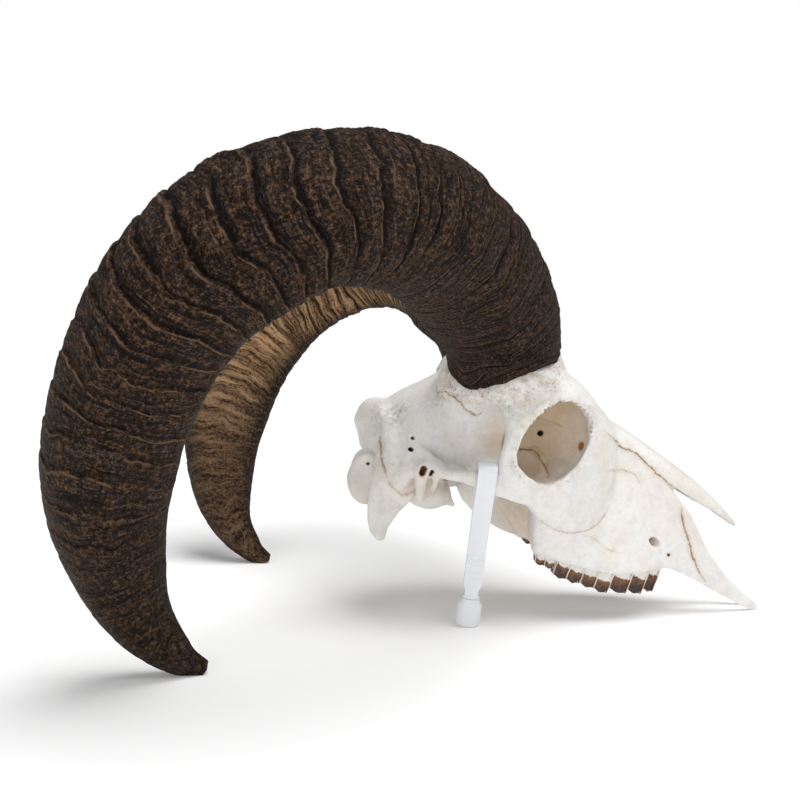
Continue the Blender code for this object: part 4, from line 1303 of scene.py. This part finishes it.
def strap_mesh():
    """The folded strap: full width above, narrowed to a neck above the lock, ribbed where it is gripped."""
    _, path = evenly(spline(STRAP_PATH, 34), STRAP_RINGS, 2)
    tangent = unit(np.gradient(path, axis=0))
    out = np.stack([tangent[:, 1], -tangent[:, 0]], 1)
    height = path[:, 1]
    half = STRAP_WIDTH / 2 * (0.72 + 0.28 * ease((height - 19.0) / 5.0))
    groove = 0.5 - 0.5 * np.cos(math.tau * np.clip((height - 26.0) / 2.4, 0.0, 6.0))
    section = []
    for side, face, start in STRAP_SECTION:
        for turn in np.radians(start + 30.0 * np.arange(4)):
            wide = side * (half - STRAP_CORNER) + STRAP_CORNER * math.cos(turn)
            deep = face * (STRAP_THICKNESS / 2 - STRAP_CORNER) + STRAP_CORNER * math.sin(turn)
            deep = deep - max(0, face) * GROOVE_DEPTH * groove
            section.append(np.column_stack([wide, path + out * deep[:, None]]))
    return np.stack(section, 1)


def turned_mesh(profile, sides, squash):
    """Rings of an upright round body: height and radius of each, its depth times squash."""
    turn = math.tau * np.arange(sides) / sides
    return np.array([
        np.column_stack([r * np.cos(turn), squash * r * np.sin(turn), np.full(sides, z)]) for z, r in profile
    ])

def build_tag(look):
    lock = turned_mesh(LOCK_PROFILE, LOCK_SIDES, 0.69)
    collar = turned_mesh(COLLAR_PROFILE, LOCK_SIDES, 0.62)
    points, faces = np.empty((0, 3)), []
    for rings in (strap_mesh(), lock, collar):
        faces += tube_faces(*rings.shape[:2], first=len(points))
        points = np.vstack([points, rings.reshape(-1, 3), rings[0].mean(0), rings[-1].mean(0)])
    tag = new_piece("tag_loop", tag_to_row(points), *faces)
    tag.data.materials.append(look)
    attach(tag, "root")
    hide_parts("seal_tag")


# Stage: the sky's tilt in degrees towards +Y and +X, spread and strength; place, size and power of the lamps.
SKY_TILT = (4.0, 16.0)
SKY_SPREAD = 50.0
SKY_STRENGTH = 2.35
LAMP_TARGET = (0.0, 0.0, 0.1)
LAMPS = {"key_light": ((0.5, -1.1, 1.5), 0.6, 4.0), "front_light": ((-0.6, -1.7, 0.35), 1.2, 8.0)}
FILL_STRENGTH = 0.24
WHITE = (1.0, 1.0, 1.0, 1.0)


def build_floor(look):
    half = FLOOR_SIZE / 2 / MM
    corners = [(-half, -half, 0.0), (half, -half, 0.0), (half, half, 0.0), (-half, half, 0.0)]
    floor = new_piece("floor", np.array(corners), [[0, 1, 2, 3]])
    floor.data.materials.append(look)


def build_lights():
    """A very wide light overhead and two soft round lamps in front."""
    sky = bpy.data.lights.new("sky_panel", "SUN")
    sky.energy = SKY_STRENGTH
    sky.angle = math.radians(SKY_SPREAD)
    put("sky_panel", sky).rotation_euler = (math.radians(SKY_TILT[0]), math.radians(SKY_TILT[1]), 0.0)
    for name, (place, size, power) in LAMPS.items():
        lamp = bpy.data.lights.new(name, "AREA")
        lamp.shape = "DISK"
        lamp.size = size
        lamp.energy = power
        light = put(name, lamp)
        light.location = place
        towards = np.subtract(LAMP_TARGET, place)
        yaw = math.atan2(towards[1], towards[0])
        tilt = math.atan2(math.hypot(towards[0], towards[1]), -towards[2])
        light.rotation_euler = (tilt, 0.0, yaw - math.pi / 2)


def build_world():
    """A weak white fill, and plain white where the camera sees past the floor."""
    world = bpy.data.worlds.new("studio")
    bpy.context.scene.world = world
    world.use_nodes = True
    tree = world.node_tree
    fill = tree.nodes["Background"]
    fill.inputs["Color"].default_value = WHITE
    fill.inputs["Strength"].default_value = FILL_STRENGTH
    backdrop = tree.nodes.new("ShaderNodeBackground")
    backdrop.inputs["Color"].default_value = WHITE
    path = tree.nodes.new("ShaderNodeLightPath")
    choice = tree.nodes.new("ShaderNodeMixShader")
    tree.links.new(path.outputs["Is Camera Ray"], choice.inputs["Fac"])
    tree.links.new(fill.outputs["Background"], choice.inputs[1])
    tree.links.new(backdrop.outputs["Background"], choice.inputs[2])
    tree.links.new(choice.outputs["Shader"], tree.nodes["World Output"].inputs["Surface"])
    bpy.context.scene.view_settings.view_transform = "Standard"


def build_camera():
    data = bpy.data.cameras.new("camera")
    data.lens = CAMERA_LENS
    data.sensor_width = 36.0
    camera = put("camera", data)
    camera.location = CAMERA_PLACE
    camera.rotation_euler = (math.radians(90.0 + CAMERA_PITCH), 0.0, 0.0)
    bpy.context.scene.camera = camera


def main():
    horn = horn_look()
    tooth = tooth_look()
    build_skull(bone_look())
    for side, word in ((1, "left"), (-1, "right")):
        build_horn(side, word, horn)
        for row in TEETH:
            build_tooth(row, side, word, tooth)
    build_tag(plastic_look())
    build_floor(floor_look())
    build_lights()
    build_world()
    build_camera()


main()
